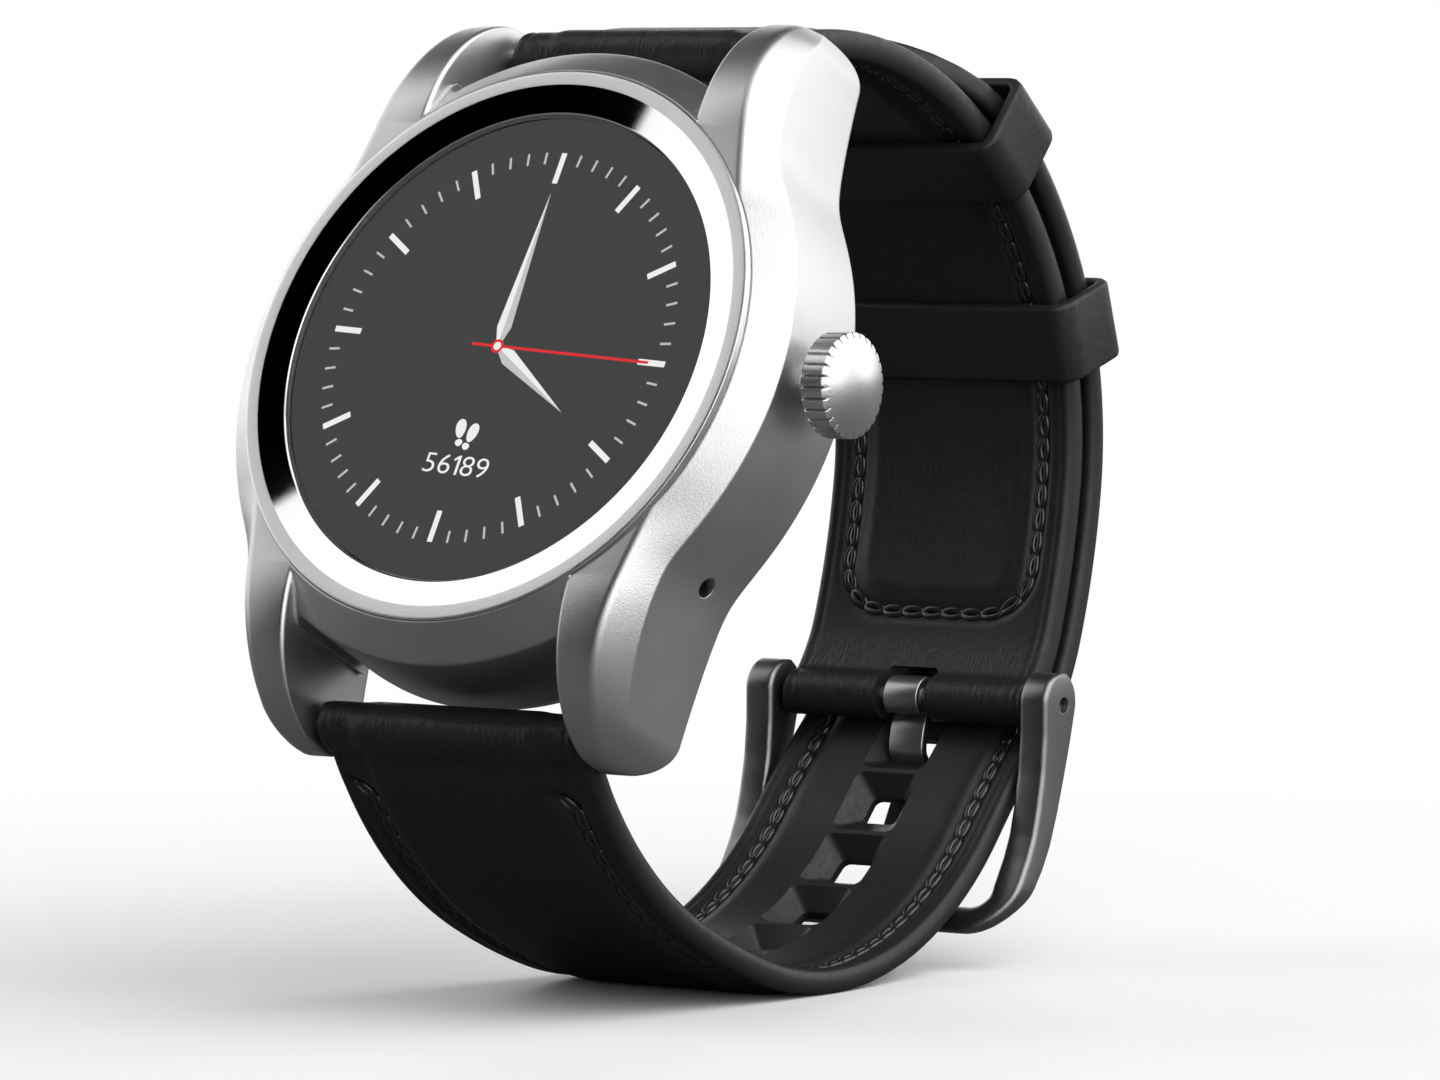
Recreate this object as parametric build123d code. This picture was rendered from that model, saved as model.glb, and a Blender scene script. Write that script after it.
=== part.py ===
from build123d import *
import os
from math import cos, pi, radians, sin, sqrt

# A round smartwatch on a buckled leather-grained rubber strap, standing on the bottom of its strap loop.
# Millimetres.  +X is the 3 o'clock side with the crown, +Y is away from the dial, +Z is up.
# The origin is on the watch's middle plane X = 0, where the strap loop rests on the table.

# ---------------------------------------------------------------- driving dimensions
DIAL_TILT = 25.5          # lean of the dial back from upright, degrees

# case, measured in the dial frame: x to 3 o'clock, u to 12 o'clock, n out of the dial
CASE_R = 21.87            # case radius at 3 and 9 o'clock
SHOULDER_R = 19.17        # radius where the side bevel starts
DRUM_R = 21.86            # round body between the lugs
DRUM_BACK_R = 22.15
LUG_GAP = 22.3            # free width between two lugs
LUG_REACH = 26.1          # lug tip from the dial centre along u
LUG_TIP_R = 3.0           # back corner of the tip
LUG_BACK = -10.9          # lowest point of the tip
BAR_U = 24.3              # spring bar from the dial centre along u
BAR_N = -7.15             # spring bar depth
CASE_TOP = 0.25
CASE_BACK = -9.3
CAVITY_R = 18.8
LEDGE_R = 17.6
LEDGE_TOP = -1.2
LEDGE_BOTTOM = -2.2

# bezel and crystal
BEZEL_R = 19.5
BEZEL_FLAT_R = 18.5
BEZEL_TOP = 0.55
SEAM = 0.1
CRYSTAL_R = 16.5
CRYSTAL_TOP = 0.2
CRYSTAL_T = 0.6
DISPLAY_R = 15.4

# back
BACK_R = 20.7
BACK_T = 1.6
WINDOW_R = 7.0
SCREW_CIRCLE = 19.95      # radius that the back cover's screws stand on
SCREW_HOLE_R = 0.5

# crown
CROWN_R = 3.41
CROWN_N = -5.1
CROWN_FACE_X = 23.4       # inner end of the crown
CROWN_FLUTED = 1.75
CROWN_RIM = 0.44          # bevel between the flutes and the dome
CROWN_DOME = 1.1
FLUTES = 28
STEM_R = 0.8
TUBE_R = 1.5
PUSH_TRAVEL = 0.4

# microphone port in the lower right side wall
MIC_U = -13.9
MIC_N = -6.1
MIC_R = 0.6

# strap
STRAP_W_LUG = 21.5        # width at the front of the loop
STRAP_W_BUCKLE = 20.4     # width at the back of the loop
SHORT_T = 2.0
LONG_T = 1.7
STACK = 2.85              # centre line of the long strap outside the short strap's
ROLL_R = 1.6              # rolled strap end round its lug bar
BUCKLE_ROLL_R = 1.7       # rolled strap end round the buckle bar
BAR_R = 0.75
FIT = 0.05                # running clearance of bars, pins and stem
TIP_R = 0.5
BAR_HALF = 10.6           # half length of a lug bar's tube
BUCKLE_BAR_HALF = 10.3
HOLE_PITCH = 5.55
FIRST_HOLE = 63.4         # the hole that the tongue is in, along the long strap from the lug bar
HOLES_BEFORE = 5
HOLES_AFTER = 2

# strap centre lines in the YZ plane: start heading in degrees, then tangent arcs (radius, sweep)
# positive arcs turn left; the short strap starts at the upper bar, the long one at the lower bar
SHORT_HEADING = 13.3
SHORT_ARCS = [(-30.0, -77.6), (-24.2, -33.8), (-52.5, -10.8), (-13.2, -26.2)]
LONG_HEADING = -67.38
LONG_ARCS = [(26.94, 40.39), (54.5, 8.6), (25.22, 66.75), (-94.0, -4.9), (18.51, 26.11), (49.41, 12.33),
             (24.2 + STACK, 33.8), (30.0 + STACK, 40.0)]

# keepers: middle station along the short strap
KEEPER_STATIONS = {"keeper_upper": 28.7, "keeper_lower": 44.1}
KEEPER_W = 5.6
KEEPER_WALL = 0.85
KEEPER_GAP = 0.25

# buckle
ARM_INNER = 10.55
ARM_OUTER = 12.85
ARM_HOLE_R = TIP_R + FIT
ARM_LEAN = 13.0           # the arms hang this far from vertical, towards the dial
ARM_LENGTH = 15.7         # bar axis below the pin, along the arms
BAR_DEPTH = 0.95          # half depth of the frame's end bar
TONGUE_W = 3.1
TONGUE_T = 0.7
NOTCH_W = 4.3

os.makedirs("parts", exist_ok=True)


# ---------------------------------------------------------------- frames and helpers
T = radians(DIAL_TILT)


def dial_yz(u, n):
    """Dial-frame (u, n) to (y, z) about the dial centre."""
    return (u * sin(T) - n * cos(T), u * cos(T) + n * sin(T))


def chain(start, heading, arcs):
    """Start point, start heading and arc table of a strap centre line, as one value."""
    return (start, heading, arcs)


def station(line, s, out=0.0):
    """Point at arc length s, moved `out` to the left of travel, and the heading there in degrees."""
    (y, z), heading, arcs = line
    h = radians(heading)
    for i, (r, sweep) in enumerate(arcs):
        length = abs(r * radians(sweep))
        cy = y - r * sin(h)
        cz = z + r * cos(h)
        if s <= length or i == len(arcs) - 1:
            h2 = h + s / r
            return ((cy + (r - out) * sin(h2), cz - (r - out) * cos(h2)), h2 * 180 / pi)
        h = h + radians(sweep)
        y = cy + r * sin(h)
        z = cz - r * cos(h)
        s = s - length


def arc_length(arcs):
    return sum(abs(r * radians(sweep)) for r, sweep in arcs)


def breaks(arcs, s0, s1):
    """Arc lengths of s0, every arc joint between, and s1."""
    marks = [s0]
    total = 0.0
    for r, sweep in arcs:
        total = total + abs(r * radians(sweep))
        if s0 + 0.01 < total < s1 - 0.01:
            marks.append(total)
    marks.append(s1)
    return marks


def ribbon(line, s0, s1, left, right):
    """Face in the YZ plane between two offsets of a centre line, from s0 to s1."""
    marks = breaks(line[2], s0, s1)
    edges = []
    for out in (left, right):
        for a, b in zip(marks[:-1], marks[1:]):
            pts = [station(line, s, out)[0] for s in (a + 1e-6, (a + b) / 2, b - 1e-6)]
            edges.append(ThreePointArc(*[(0, p[0], p[1]) for p in pts]))
    ends = []
    for s in (s0 + 1e-6, s1 - 1e-6):
        p = station(line, s, left)[0]
        q = station(line, s, right)[0]
        ends.append(Line((0, p[0], p[1]), (0, q[0], q[1])))
    wire = Wire.combine(edges + ends, tol=0.001)[0]
    return Face(wire)


def extrude_x(face, x0, x1):
    """Solid from a YZ-plane face, between x0 and x1."""
    return Pos(x0, 0, 0) * extrude(face, amount=x1 - x0, dir=(1, 0, 0))


def rod(r, x0, x1, y=0.0, z=0.0):
    """Cylinder along X."""
    return Pos((x0 + x1) / 2, y, z) * Rot(0, 90, 0) * Cylinder(r, x1 - x0)


def box(x0, x1, y0, y1, z0, z1):
    return Pos((x0 + x1) / 2, (y0 + y1) / 2, (z0 + z1) / 2) * Box(x1 - x0, y1 - y0, z1 - z0)


def disc(r, n0, n1, x=0.0, u=0.0):
    return Pos(x, u, (n0 + n1) / 2) * Cylinder(r, n1 - n0)


def ring(r_in, r_out, n0, n1):
    return disc(r_out, n0, n1) - disc(r_in, n0 - 1, n1 + 1)


def turned(points):
    """Solid of revolution about the dial axis, from (radius, n) points."""
    return revolve(make_face(Polyline(*[(r, 0, n) for r, n in points], close=True)), Axis.Z)


def smooth_max(a, b, k):
    return 0.5 * (a + b + sqrt((a - b) ** 2 + k * k))


# the strap's two halves, about the dial centre first, to find where the loop rests
LOWER_BAR = dial_yz(-BAR_U, BAR_N)
UPPER_BAR = dial_yz(BAR_U, BAR_N)
draft_long = chain(LOWER_BAR, LONG_HEADING, LONG_ARCS)
heading_at_rest_arc = LONG_HEADING + LONG_ARCS[0][1] + LONG_ARCS[1][1]
rest_s = arc_length(LONG_ARCS[:2]) - radians(heading_at_rest_arc) * LONG_ARCS[2][0]
(rest_y, rest_z), _ = station(draft_long, rest_s, -LONG_T / 2)
DIAL_Y = -rest_y
DIAL_Z = -rest_z
DIAL = Location(Plane(origin=(0, DIAL_Y, DIAL_Z), x_dir=(1, 0, 0), z_dir=(0, -cos(T), sin(T))))


def placed(y, z):
    return (y + DIAL_Y, z + DIAL_Z)


LONG = chain(placed(*LOWER_BAR), LONG_HEADING, LONG_ARCS)
SHORT = chain(placed(*UPPER_BAR), SHORT_HEADING, SHORT_ARCS)
SHORT_LEN = arc_length(SHORT_ARCS)
LONG_LEN = arc_length(LONG_ARCS)
PIN = station(SHORT, SHORT_LEN)[0]

written = {}


def save(name, shape):
    """Write one sub-part; a list becomes a group of separate solids."""
    solids = shape if isinstance(shape, list) else [shape]
    flat = [s for one in solids for s in one.solids()]
    out = flat[0] if len(flat) == 1 else Compound(children=flat)
    export_step(out, "parts/" + name + ".step")
    written[name] = len(flat)


def save_dial(name, shape):
    """Write a sub-part that was modelled in the dial frame."""
    solids = shape if isinstance(shape, list) else [shape]
    save(name, [DIAL * s for s in solids])


# ---------------------------------------------------------------- case
def side_section(u):
    """Cross-section of one case side at u: lug inner face, top, bevel, side wall, back."""
    a = abs(u)
    circle = sqrt(max(CASE_R ** 2 - a * a, 0))
    wall = smooth_max(circle, 15.12 + 0.195 * (23.6 - a), 0.81)
    if a > 23.6:
        wall = wall - 3.4 * (1 - sqrt(1 - ((a - 23.6) / 3.0) ** 2))
    shoulder_circle = sqrt(max(SHOULDER_R ** 2 - a * a, 0))
    shoulder = min(smooth_max(shoulder_circle, 14.94 + 0.18 * (16.9 - a), 0.68), wall - 0.7)
    wall_top = -1.75
    if a > 13.5:
        wall_top = wall_top - 8.4 * (1 - sqrt(1 - ((a - 13.5) / 13.1) ** 2))
    top = CASE_TOP
    if a > 16.2:
        top = top - 8.2 * (1 - sqrt(1 - ((a - 16.2) / 9.95) ** 2))
    back = CASE_BACK
    if a > 11.5:
        back = back - 2.3 * ((a - 11.5) / 14.8) ** 1.6
    inner = LUG_GAP / 2
    pts = [(inner, u, top + 0.1), (shoulder, u, top), (wall, u, wall_top), (wall, u, back), (inner, u, back)]
    return make_face(Polyline(*pts, close=True))


def case_side():
    half = [0, 5, 9, 12, 14.5, 17, 19.5, 22, 23.8, 25, 25.7, LUG_REACH]
    stations = [-u for u in reversed(half[1:])] + half
    return loft([side_section(u) for u in stations])


def make_case():
    drum_profile = [(0, 0.4), (19.8, 0.4), (DRUM_R, -1.45), (DRUM_BACK_R, -8.6),
                    (DRUM_BACK_R - 0.5, CASE_BACK), (0, CASE_BACK)]
    collar_profile = [(0, 0.2), (20.2, 0.2), (DRUM_R + 0.6, -1.3), (DRUM_BACK_R + 0.6, CASE_BACK),
                      (0, CASE_BACK)]
    right = case_side()
    drum = turned(drum_profile) & box(-11.5, 11.5, -23, 23, -12, 2)
    body = drum + right + mirror(right, Plane.YZ)
    # a low collar stands on each lug's inner face round the end of the drum
    collar = turned(collar_profile) & box(LUG_GAP / 2 - 0.3, LUG_GAP / 2 + 0.5, -23.5, 23.5, -12, 2)
    body = body + collar + mirror(collar, Plane.YZ)
    # round the back corner of each lug tip
    corner_u = LUG_REACH - LUG_TIP_R
    corner_n = LUG_BACK + LUG_TIP_R
    corner = box(-30, 30, corner_u, 30, -16, corner_n) - rod(LUG_TIP_R, -31, 31, corner_u, corner_n)
    body = body - corner - mirror(corner, Plane.XZ)
    body = body - disc(BEZEL_R + SEAM, LEDGE_TOP, 5)
    body = body - disc(LEDGE_R, -5, 5)
    body = body - disc(CAVITY_R, CASE_BACK - 5, LEDGE_BOTTOM)
    body = body - disc(BACK_R + 0.12, CASE_BACK - 5, CASE_BACK)
    # crown tube bore, microphone port with a chamfered mouth, and a seat for its mesh inside
    body = body - rod(TUBE_R, 15, 30, 0, CROWN_N)
    mic_face = side_wall_x(MIC_U)
    body = body - rod(MIC_R, 10, 30, MIC_U, MIC_N)
    body = body - rod(0.95, 11.9, 14.0, MIC_U, MIC_N)
    body = body - Pos(mic_face, MIC_U, MIC_N) * Rot(0, 90, 0) * Cone(0.3, 1.2, 0.9)
    # blind holes for the spring bar tips, in all four lugs
    for u in (-BAR_U, BAR_U):
        body = body - rod(TIP_R + FIT, -12.7, 12.7, u, BAR_N)
    # tapped holes for the back cover's screws
    for x, u in screw_places():
        body = body - disc(SCREW_HOLE_R, CASE_BACK - 1, CASE_BACK + 2.4, x, u)
    return body


def side_wall_x(u):
    return smooth_max(sqrt(CASE_R ** 2 - u * u), 15.12 + 0.195 * (23.6 - abs(u)), 0.81)


def screw_places():
    return [(SCREW_CIRCLE * cos(radians(a)), SCREW_CIRCLE * sin(radians(a))) for a in (60, 120, 240, 300)]


save_dial("mid_case", make_case())

# polished bezel with a satin flat on top, seated on the case ledge
bezel_profile = [(CRYSTAL_R + 0.07, LEDGE_TOP), (BEZEL_R, LEDGE_TOP), (BEZEL_R, BEZEL_TOP - 0.2),
                 (BEZEL_R - 0.2, BEZEL_TOP), (BEZEL_FLAT_R, BEZEL_TOP), (CRYSTAL_R + 0.2, CRYSTAL_TOP),
                 (CRYSTAL_R + 0.07, CRYSTAL_TOP - 0.05)]
save_dial("bezel_ring", turned(bezel_profile))

crystal_bottom = CRYSTAL_TOP - CRYSTAL_T
crystal = disc(CRYSTAL_R, crystal_bottom, CRYSTAL_TOP)
save_dial("crystal", chamfer(crystal.edges().group_by(Axis.Z)[-1], 0.1))
save_dial("crystal_gasket", ring(15.6, CRYSTAL_R, crystal_bottom - 0.75, crystal_bottom - 0.02))

# ---------------------------------------------------------------- what the case holds
display_top = crystal_bottom - 0.1
display = disc(DISPLAY_R, display_top - 1.4, display_top)
save_dial("display_module", display)

chassis = disc(18.5, -3.05, -2.3) + ring(15.6, 16.4, -2.3, LEDGE_TOP - 0.05)
chassis = chassis - box(-4, 4, -15.4, -12.4, -4, -2)
save_dial("inner_chassis", chassis)

board = disc(17.8, -4.2, -3.4)
board = board - box(11.7, 20, -3.6, 3.6, -5, -3) - box(-3.5, 3.5, -20, -14.2, -5, -3)
save_dial("main_board", board)

chips = [box(-9, -3, -14, -10.6, -5.1, -4.22), box(-14.6, -11.6, -3, 3, -5.0, -4.22),
         box(4.4, 8.4, -13.6, -10.6, -5.3, -4.22), box(-9.5, -5.5, 11, 14, -5.2, -4.22),
         box(5.5, 8.3, 10.8, 13.6, -5.0, -4.22), box(-3, 1.5, -2, 2, -3.38, -3.08)]
save_dial("board_chips", chips)

battery = box(-11, 10, -10, 10, -8.2, -4.5)
save_dial("battery", fillet(battery.edges().filter_by(Axis.Z), 1.5))

save_dial("vibration_motor", disc(3.6, -7.0, -4.4, 0, 14.0))
save_dial("mic_module", box(9.9, 11.2, -14.3, -11.6, -7.4, -4.8))
save_dial("mic_mesh", rod(0.9, 12.9, 13.1, MIC_U, MIC_N))

# ---------------------------------------------------------------- back
back_bottom = CASE_BACK - BACK_T
back_profile = [(0, -8.75), (18.15, -8.75), (18.15, CASE_BACK - 0.03), (BACK_R, CASE_BACK - 0.03),
                (BACK_R, CASE_BACK - 1.0), (BACK_R - 0.6, back_bottom), (0, back_bottom)]
back = turned(back_profile)
back = back - disc(WINDOW_R + 0.05, back_bottom - 1, -10.0)
back = back - disc(WINDOW_R - 1.2, back_bottom - 1, -8)
contact_places = [(-3.2, -13.2), (3.2, -13.2)]
for x, u in contact_places:
    back = back - disc(1.15, back_bottom - 1, -8, x, u)
for x, u in screw_places():
    back = back - disc(0.55, back_bottom - 1, -8, x, u) - disc(0.95, back_bottom - 1, back_bottom + 0.7, x, u)
save_dial("back_cover", back)
save_dial("back_gasket", ring(18.2, CAVITY_R - 0.02, CASE_BACK + 0.02, -8.7))

window = disc(WINDOW_R, back_bottom - 0.7, -10.02)
save_dial("sensor_window", fillet(window.edges().group_by(Axis.Z)[0], 0.6))
save_dial("sensor_board", disc(5.6, -9.9, -9.4))
leds = [box(-2.6, -1.4, -0.6, 0.6, -10.0, -9.91), box(1.4, 2.6, -0.6, 0.6, -10.0, -9.91),
        box(-0.9, 0.9, -0.9, 0.9, -10.0, -9.91)]
save_dial("sensor_leds", leds)
contacts = [disc(1.1, back_bottom - 0.12, -9.0, x, u) for x, u in contact_places]
save_dial("charge_contacts", contacts)


def case_screw(x, u):
    head_top = back_bottom + 0.65
    head = disc(0.9, back_bottom + 0.1, head_top, x, u)
    shank = disc(0.46, head_top - 0.01, CASE_BACK + 2.2, x, u)
    slot = box(x - 1, x + 1, u - 0.12, u + 0.12, back_bottom, back_bottom + 0.3)
    return head + shank - slot


save_dial("case_screws", [case_screw(x, u) for x, u in screw_places()])

# ---------------------------------------------------------------- crown and its switch
flange_x = CROWN_FACE_X + CROWN_FLUTED


def make_crown():
    """Fluted crown: barrel, bevelled rim and low dome; the V flutes run out over the bevel."""
    rim_r = CROWN_R - CROWN_RIM
    rim_x = flange_x + 0.24
    points = [(0, CROWN_FACE_X), (CROWN_R - 0.25, CROWN_FACE_X), (CROWN_R, CROWN_FACE_X + 0.25),
              (CROWN_R, flange_x), (rim_r, rim_x)]
    sides = Polyline(*[(r, 0, x) for r, x in points])
    peak = (0, 0, flange_x + CROWN_DOME)
    rise = peak[2] - rim_x
    dome_r = (rim_r ** 2 + rise ** 2) / (2 * rise)
    halfway = peak[2] - dome_r + sqrt(dome_r ** 2 - rim_r ** 2 / 4)
    dome = ThreePointArc((rim_r, 0, rim_x), (rim_r / 2, 0, halfway), peak)
    axis_line = Line(peak, (0, 0, CROWN_FACE_X))
    body = revolve(make_face(Wire.combine([sides, dome, axis_line], tol=0.001)[0]), Axis.Z)
    blade = Pos(CROWN_R + 0.08, 0, (CROWN_FACE_X + flange_x) / 2) * Rot(0, 0, 45) * Box(0.5, 0.5, 3.2)
    for i in range(FLUTES):
        body = body - Rot(0, 0, 360 / FLUTES * (i + 0.5)) * blade
    body = body - Pos(0, 0, CROWN_FACE_X + 0.6) * Cylinder(STEM_R, 1.4)
    return Pos(0, 0, CROWN_N) * Rot(0, 90, 0) * body


save_dial("crown_cap", make_crown())

switch_x = 13.9
stem_end = 15.6
stem = rod(STEM_R, stem_end, CROWN_FACE_X + 1.2, 0, CROWN_N)
clip_x = 17.4
seal_places = (18.9, 20.1)


def stem_groove(x, width):
    """Ring of material to cut from the stem, down to the groove's floor."""
    return rod(STEM_R + 1, x, x + width, 0, CROWN_N) - rod(0.55, x - 1, x + width + 1, 0, CROWN_N)


for x in seal_places:
    stem = stem - stem_groove(x, 0.6)
stem = stem - stem_groove(clip_x, 0.4)
save_dial("crown_stem", stem)


def stem_seal(x):
    return Pos(x + 0.3, 0, CROWN_N) * Rot(0, 90, 0) * Torus(0.55 + 0.215, 0.2)


save_dial("crown_seals", [stem_seal(x) for x in seal_places])

tube_end = CROWN_FACE_X - PUSH_TRAVEL - 0.08
tube = rod(TUBE_R - 0.01, 18.3, tube_end, 0, CROWN_N) - rod(STEM_R + 0.2, 17, 25, 0, CROWN_N)
save_dial("crown_tube", tube)

# the carrier slides with the stem and doesn't turn: a clip in the stem's groove and a push pad
clip = rod(1.35, clip_x + 0.05, clip_x + 0.35, 0, CROWN_N) - rod(0.6, 17, 18.5, 0, CROWN_N)
save_dial("crown_clip", clip)
save_dial("push_pad", rod(0.7, switch_x + 0.75, stem_end - 0.02, 0, CROWN_N))

switch = box(11.9, switch_x, -2.0, 2.0, CROWN_N - 1.6, CROWN_N + 1.4)
switch = switch + box(switch_x, switch_x + 0.15, -1.4, 1.4, CROWN_N - 1.2, CROWN_N + 1.2)
save_dial("crown_switch", switch)

# ---------------------------------------------------------------- spring bars
def bar_tube(y, z, half):
    return rod(BAR_R, -half, half, y, z) - rod(0.58, -half - 1, half + 1, y, z)


def bar_tip(y, z, half, reach, side):
    tip = rod(TIP_R, half - 2.0, reach, y, z) + rod(0.53, half - 2.0, half - 0.3, y, z)
    return tip if side > 0 else mirror(tip, Plane.YZ)


def bar_spring(y, z, length):
    coil = Helix(pitch=length / 9, height=length, radius=0.38)
    wire = Plane(origin=coil @ 0, z_dir=coil % 0) * Circle(0.11)
    spring = sweep(wire, path=coil, is_frenet=True)
    return Pos(-length / 2, y, z) * Rot(0, 90, 0) * spring


lug_bars = [placed(*UPPER_BAR), placed(*LOWER_BAR)]
save("spring_bar_tubes", [bar_tube(y, z, BAR_HALF) for y, z in lug_bars])
save("spring_bar_tips", [bar_tip(y, z, BAR_HALF, 12.3, side) for y, z in lug_bars for side in (-1, 1)])
save("spring_bar_springs", [bar_spring(y, z, 12.0) for y, z in lug_bars])

save("buckle_bar_tube", bar_tube(PIN[0], PIN[1], BUCKLE_BAR_HALF))
save("buckle_bar_tips", [bar_tip(PIN[0], PIN[1], BUCKLE_BAR_HALF, 12.4, side) for side in (-1, 1)])
save("buckle_bar_spring", bar_spring(PIN[0], PIN[1], 12.0))

# ---------------------------------------------------------------- strap
def taper_wedge():
    """Everything between the strap's two edges, which close in slightly towards the back."""
    y0 = -40.0
    y1 = 60.0
    slope = (STRAP_W_LUG - STRAP_W_BUCKLE) / 2 / 54.0
    front = placed(*LOWER_BAR)[0]
    half0 = STRAP_W_LUG / 2 + slope * (front - y0)
    half1 = half0 - slope * (y1 - y0)
    outline = Polyline((-half0, y0), (half0, y0), (half1, y1), (-half1, y1), close=True)
    return Pos(0, 0, -30) * extrude(make_face(outline), amount=160, dir=(0, 0, 1))


def roll(y, z, r):
    return rod(r, -20, 20, y, z)


def make_short():
    body = extrude_x(ribbon(SHORT, 0, SHORT_LEN, SHORT_T / 2, -SHORT_T / 2), -20, 20)
    start = SHORT[0]
    body = body + roll(*start, ROLL_R) + roll(*PIN, BUCKLE_ROLL_R)
    body = body - roll(*start, BAR_R + FIT) - roll(*PIN, BAR_R + FIT)
    body = body & taper_wedge()
    notch = box(-NOTCH_W / 2, NOTCH_W / 2, PIN[0] - 3, PIN[0] + 3, PIN[1] - 3, PIN[1] + 2.1)
    return body - notch


save("strap_short", make_short())


def at_long(s):
    """Location on the long strap's centre line: local X across, local Y outward, local Z along travel."""
    (y, z), heading = station(LONG, s)
    h = radians(heading)
    return Location(Plane(origin=(0, y, z), x_dir=(1, 0, 0), z_dir=(0, cos(h), sin(h))))


def tongue_hole(s):
    """Oblong through slot with a flared mouth on the wrist side."""
    slot = Box(3.2, 4 * LONG_T, 2.8)
    wide = Plane.XZ.offset(LONG_T / 2 + 1.0) * Rectangle(6.6, 6.6)
    narrow = Plane.XZ.offset(0.25 - LONG_T / 2) * Rectangle(3.2, 2.8)
    return at_long(s) * (slot + loft([narrow, wide]))


def make_long():
    body = extrude_x(ribbon(LONG, 0, LONG_LEN, LONG_T / 2, -LONG_T / 2), -20, 20)
    start = LONG[0]
    body = body + roll(*start, ROLL_R)
    body = body - roll(*start, BAR_R + FIT)
    body = body & taper_wedge()
    for i in range(-HOLES_AFTER, HOLES_BEFORE + 1):
        body = body - tongue_hole(FIRST_HOLE - HOLE_PITCH * i)
    # round the free end off to a blunt point
    tip = at_long(LONG_LEN)
    half = STRAP_W_BUCKLE / 2 + 0.3
    curve = Spline((half, -9.5), (half - 1.9, -5.2), (half - 5.6, -1.6), (0, 0), tangents=[(0, 1), (-1, 0)])
    outside = Polyline((0, 0), (0, 2), (half + 3, 2), (half + 3, -9.5), (half, -9.5))
    corner = make_face(Wire.combine([curve, outside])[0])
    for side in (1, -1):
        cut = extrude(Plane.XZ * corner, amount=6, both=True)
        cut = cut if side > 0 else mirror(cut, Plane.YZ)
        body = body - tip * cut
    return body


save("strap_long", make_long())


# ---------------------------------------------------------------- keepers
def at_short(s):
    (y, z), heading = station(SHORT, s)
    h = radians(heading)
    return Location(Plane(origin=(0, y, z), x_dir=(1, 0, 0), z_dir=(0, cos(h), sin(h))))


def make_keeper(s):
    """Flat loop round both layers; local Y points to the wrist side."""
    half_in = STRAP_W_BUCKLE / 2 + 0.15 + KEEPER_GAP
    wrist = SHORT_T / 2 + KEEPER_GAP
    outside = STACK + LONG_T / 2 + KEEPER_GAP
    inner = box(-half_in, half_in, -outside, wrist, -KEEPER_W, KEEPER_W)
    w = KEEPER_WALL
    outer = box(-half_in - w, half_in + w, -outside - w, wrist + w, -KEEPER_W / 2, KEEPER_W / 2)
    outer = fillet(outer.edges().filter_by(Axis.Z), 1.2)
    return at_short(s) * (outer - inner)


for name, s in KEEPER_STATIONS.items():
    save(name, make_keeper(s))

# ---------------------------------------------------------------- buckle
def arm_point(along, across):
    """Point in YZ at a distance down the arms and a distance outwards from them."""
    a = radians(ARM_LEAN)
    return (PIN[0] - along * sin(a) + across * cos(a), PIN[1] - along * cos(a) - across * sin(a))


def make_frame():
    front = [(0.0, 1.7), (5.0, 1.4), (9.8, 0.8), (13.0, -0.5), (ARM_LENGTH + BAR_DEPTH, -2.4)]
    rear = [(ARM_LENGTH + 0.2, -4.0), (12.6, -2.4), (9.4, -1.5), (5.0, -1.4), (0.0, -2.3)]
    outer = [arm_point(*p) for p in front]
    inner = [arm_point(*p) for p in rear]
    top = arm_point(-2.15, -0.3)
    line_out = Spline(*[(0, y, z) for y, z in outer])
    line_in = Spline(*[(0, y, z) for y, z in inner])
    cap = ThreePointArc((0, *inner[-1]), (0, *top), (0, *outer[0]))
    foot = Line((0, *outer[-1]), (0, *inner[0]))
    side = Face(Wire.combine([line_out, foot, line_in, cap], tol=0.001)[0])
    strip = extrude_x(side, -ARM_OUTER, ARM_OUTER)
    y, z = arm_point(0, 0)
    # in this frame local y runs up the arms and local z points out of the strap
    lean = radians(ARM_LEAN)
    arms = Location(Plane(origin=(0, y, z), x_dir=(1, 0, 0), z_dir=(0, -cos(lean), sin(lean))))
    plate = box(-ARM_OUTER, ARM_OUTER, -ARM_LENGTH - BAR_DEPTH, 3, -10, 10)
    plate = fillet(plate.edges().filter_by(Axis.Z).group_by(Axis.Y)[0], 3.9)
    window = box(-ARM_INNER, ARM_INNER, -ARM_LENGTH + BAR_DEPTH, 4, -12, 12)
    window = fillet(window.edges().filter_by(Axis.Z).group_by(Axis.Y)[0], 1.6)
    frame = (strip & (arms * plate)) - arms * window
    return frame - rod(ARM_HOLE_R, -20, 20, *PIN)


save("buckle_frame", make_frame())


def make_tongue():
    """Flat tongue curled round the bar, cranked through the strap's hole and lying on the frame's end."""
    loop = rod(BAR_R + FIT + TONGUE_T, -TONGUE_W / 2, TONGUE_W / 2, *PIN)
    through = station(LONG, FIRST_HOLE - 0.6, -1.7)[0]
    end = arm_point(ARM_LENGTH + 0.6, -1.15)
    tail = [(0.2, -1.0), (-0.15, -1.9), (-0.55, -3.9)]
    pts = [(PIN[0] + y, PIN[1] + z) for y, z in tail] + [through, end]
    path = FilletPolyline(*[(0, y, z) for y, z in pts], radius=0.8)
    start = Plane(origin=path @ 0, x_dir=(1, 0, 0), z_dir=path % 0)
    strip = sweep(start * Rectangle(TONGUE_W, TONGUE_T), path=path)
    return loop + strip - rod(BAR_R + FIT, -5, 5, *PIN)


save("buckle_tongue", make_tongue())

print(len(written), "nodes")
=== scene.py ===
import math

import bmesh
import bpy
import numpy as np
from mathutils import Matrix, Vector


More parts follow.
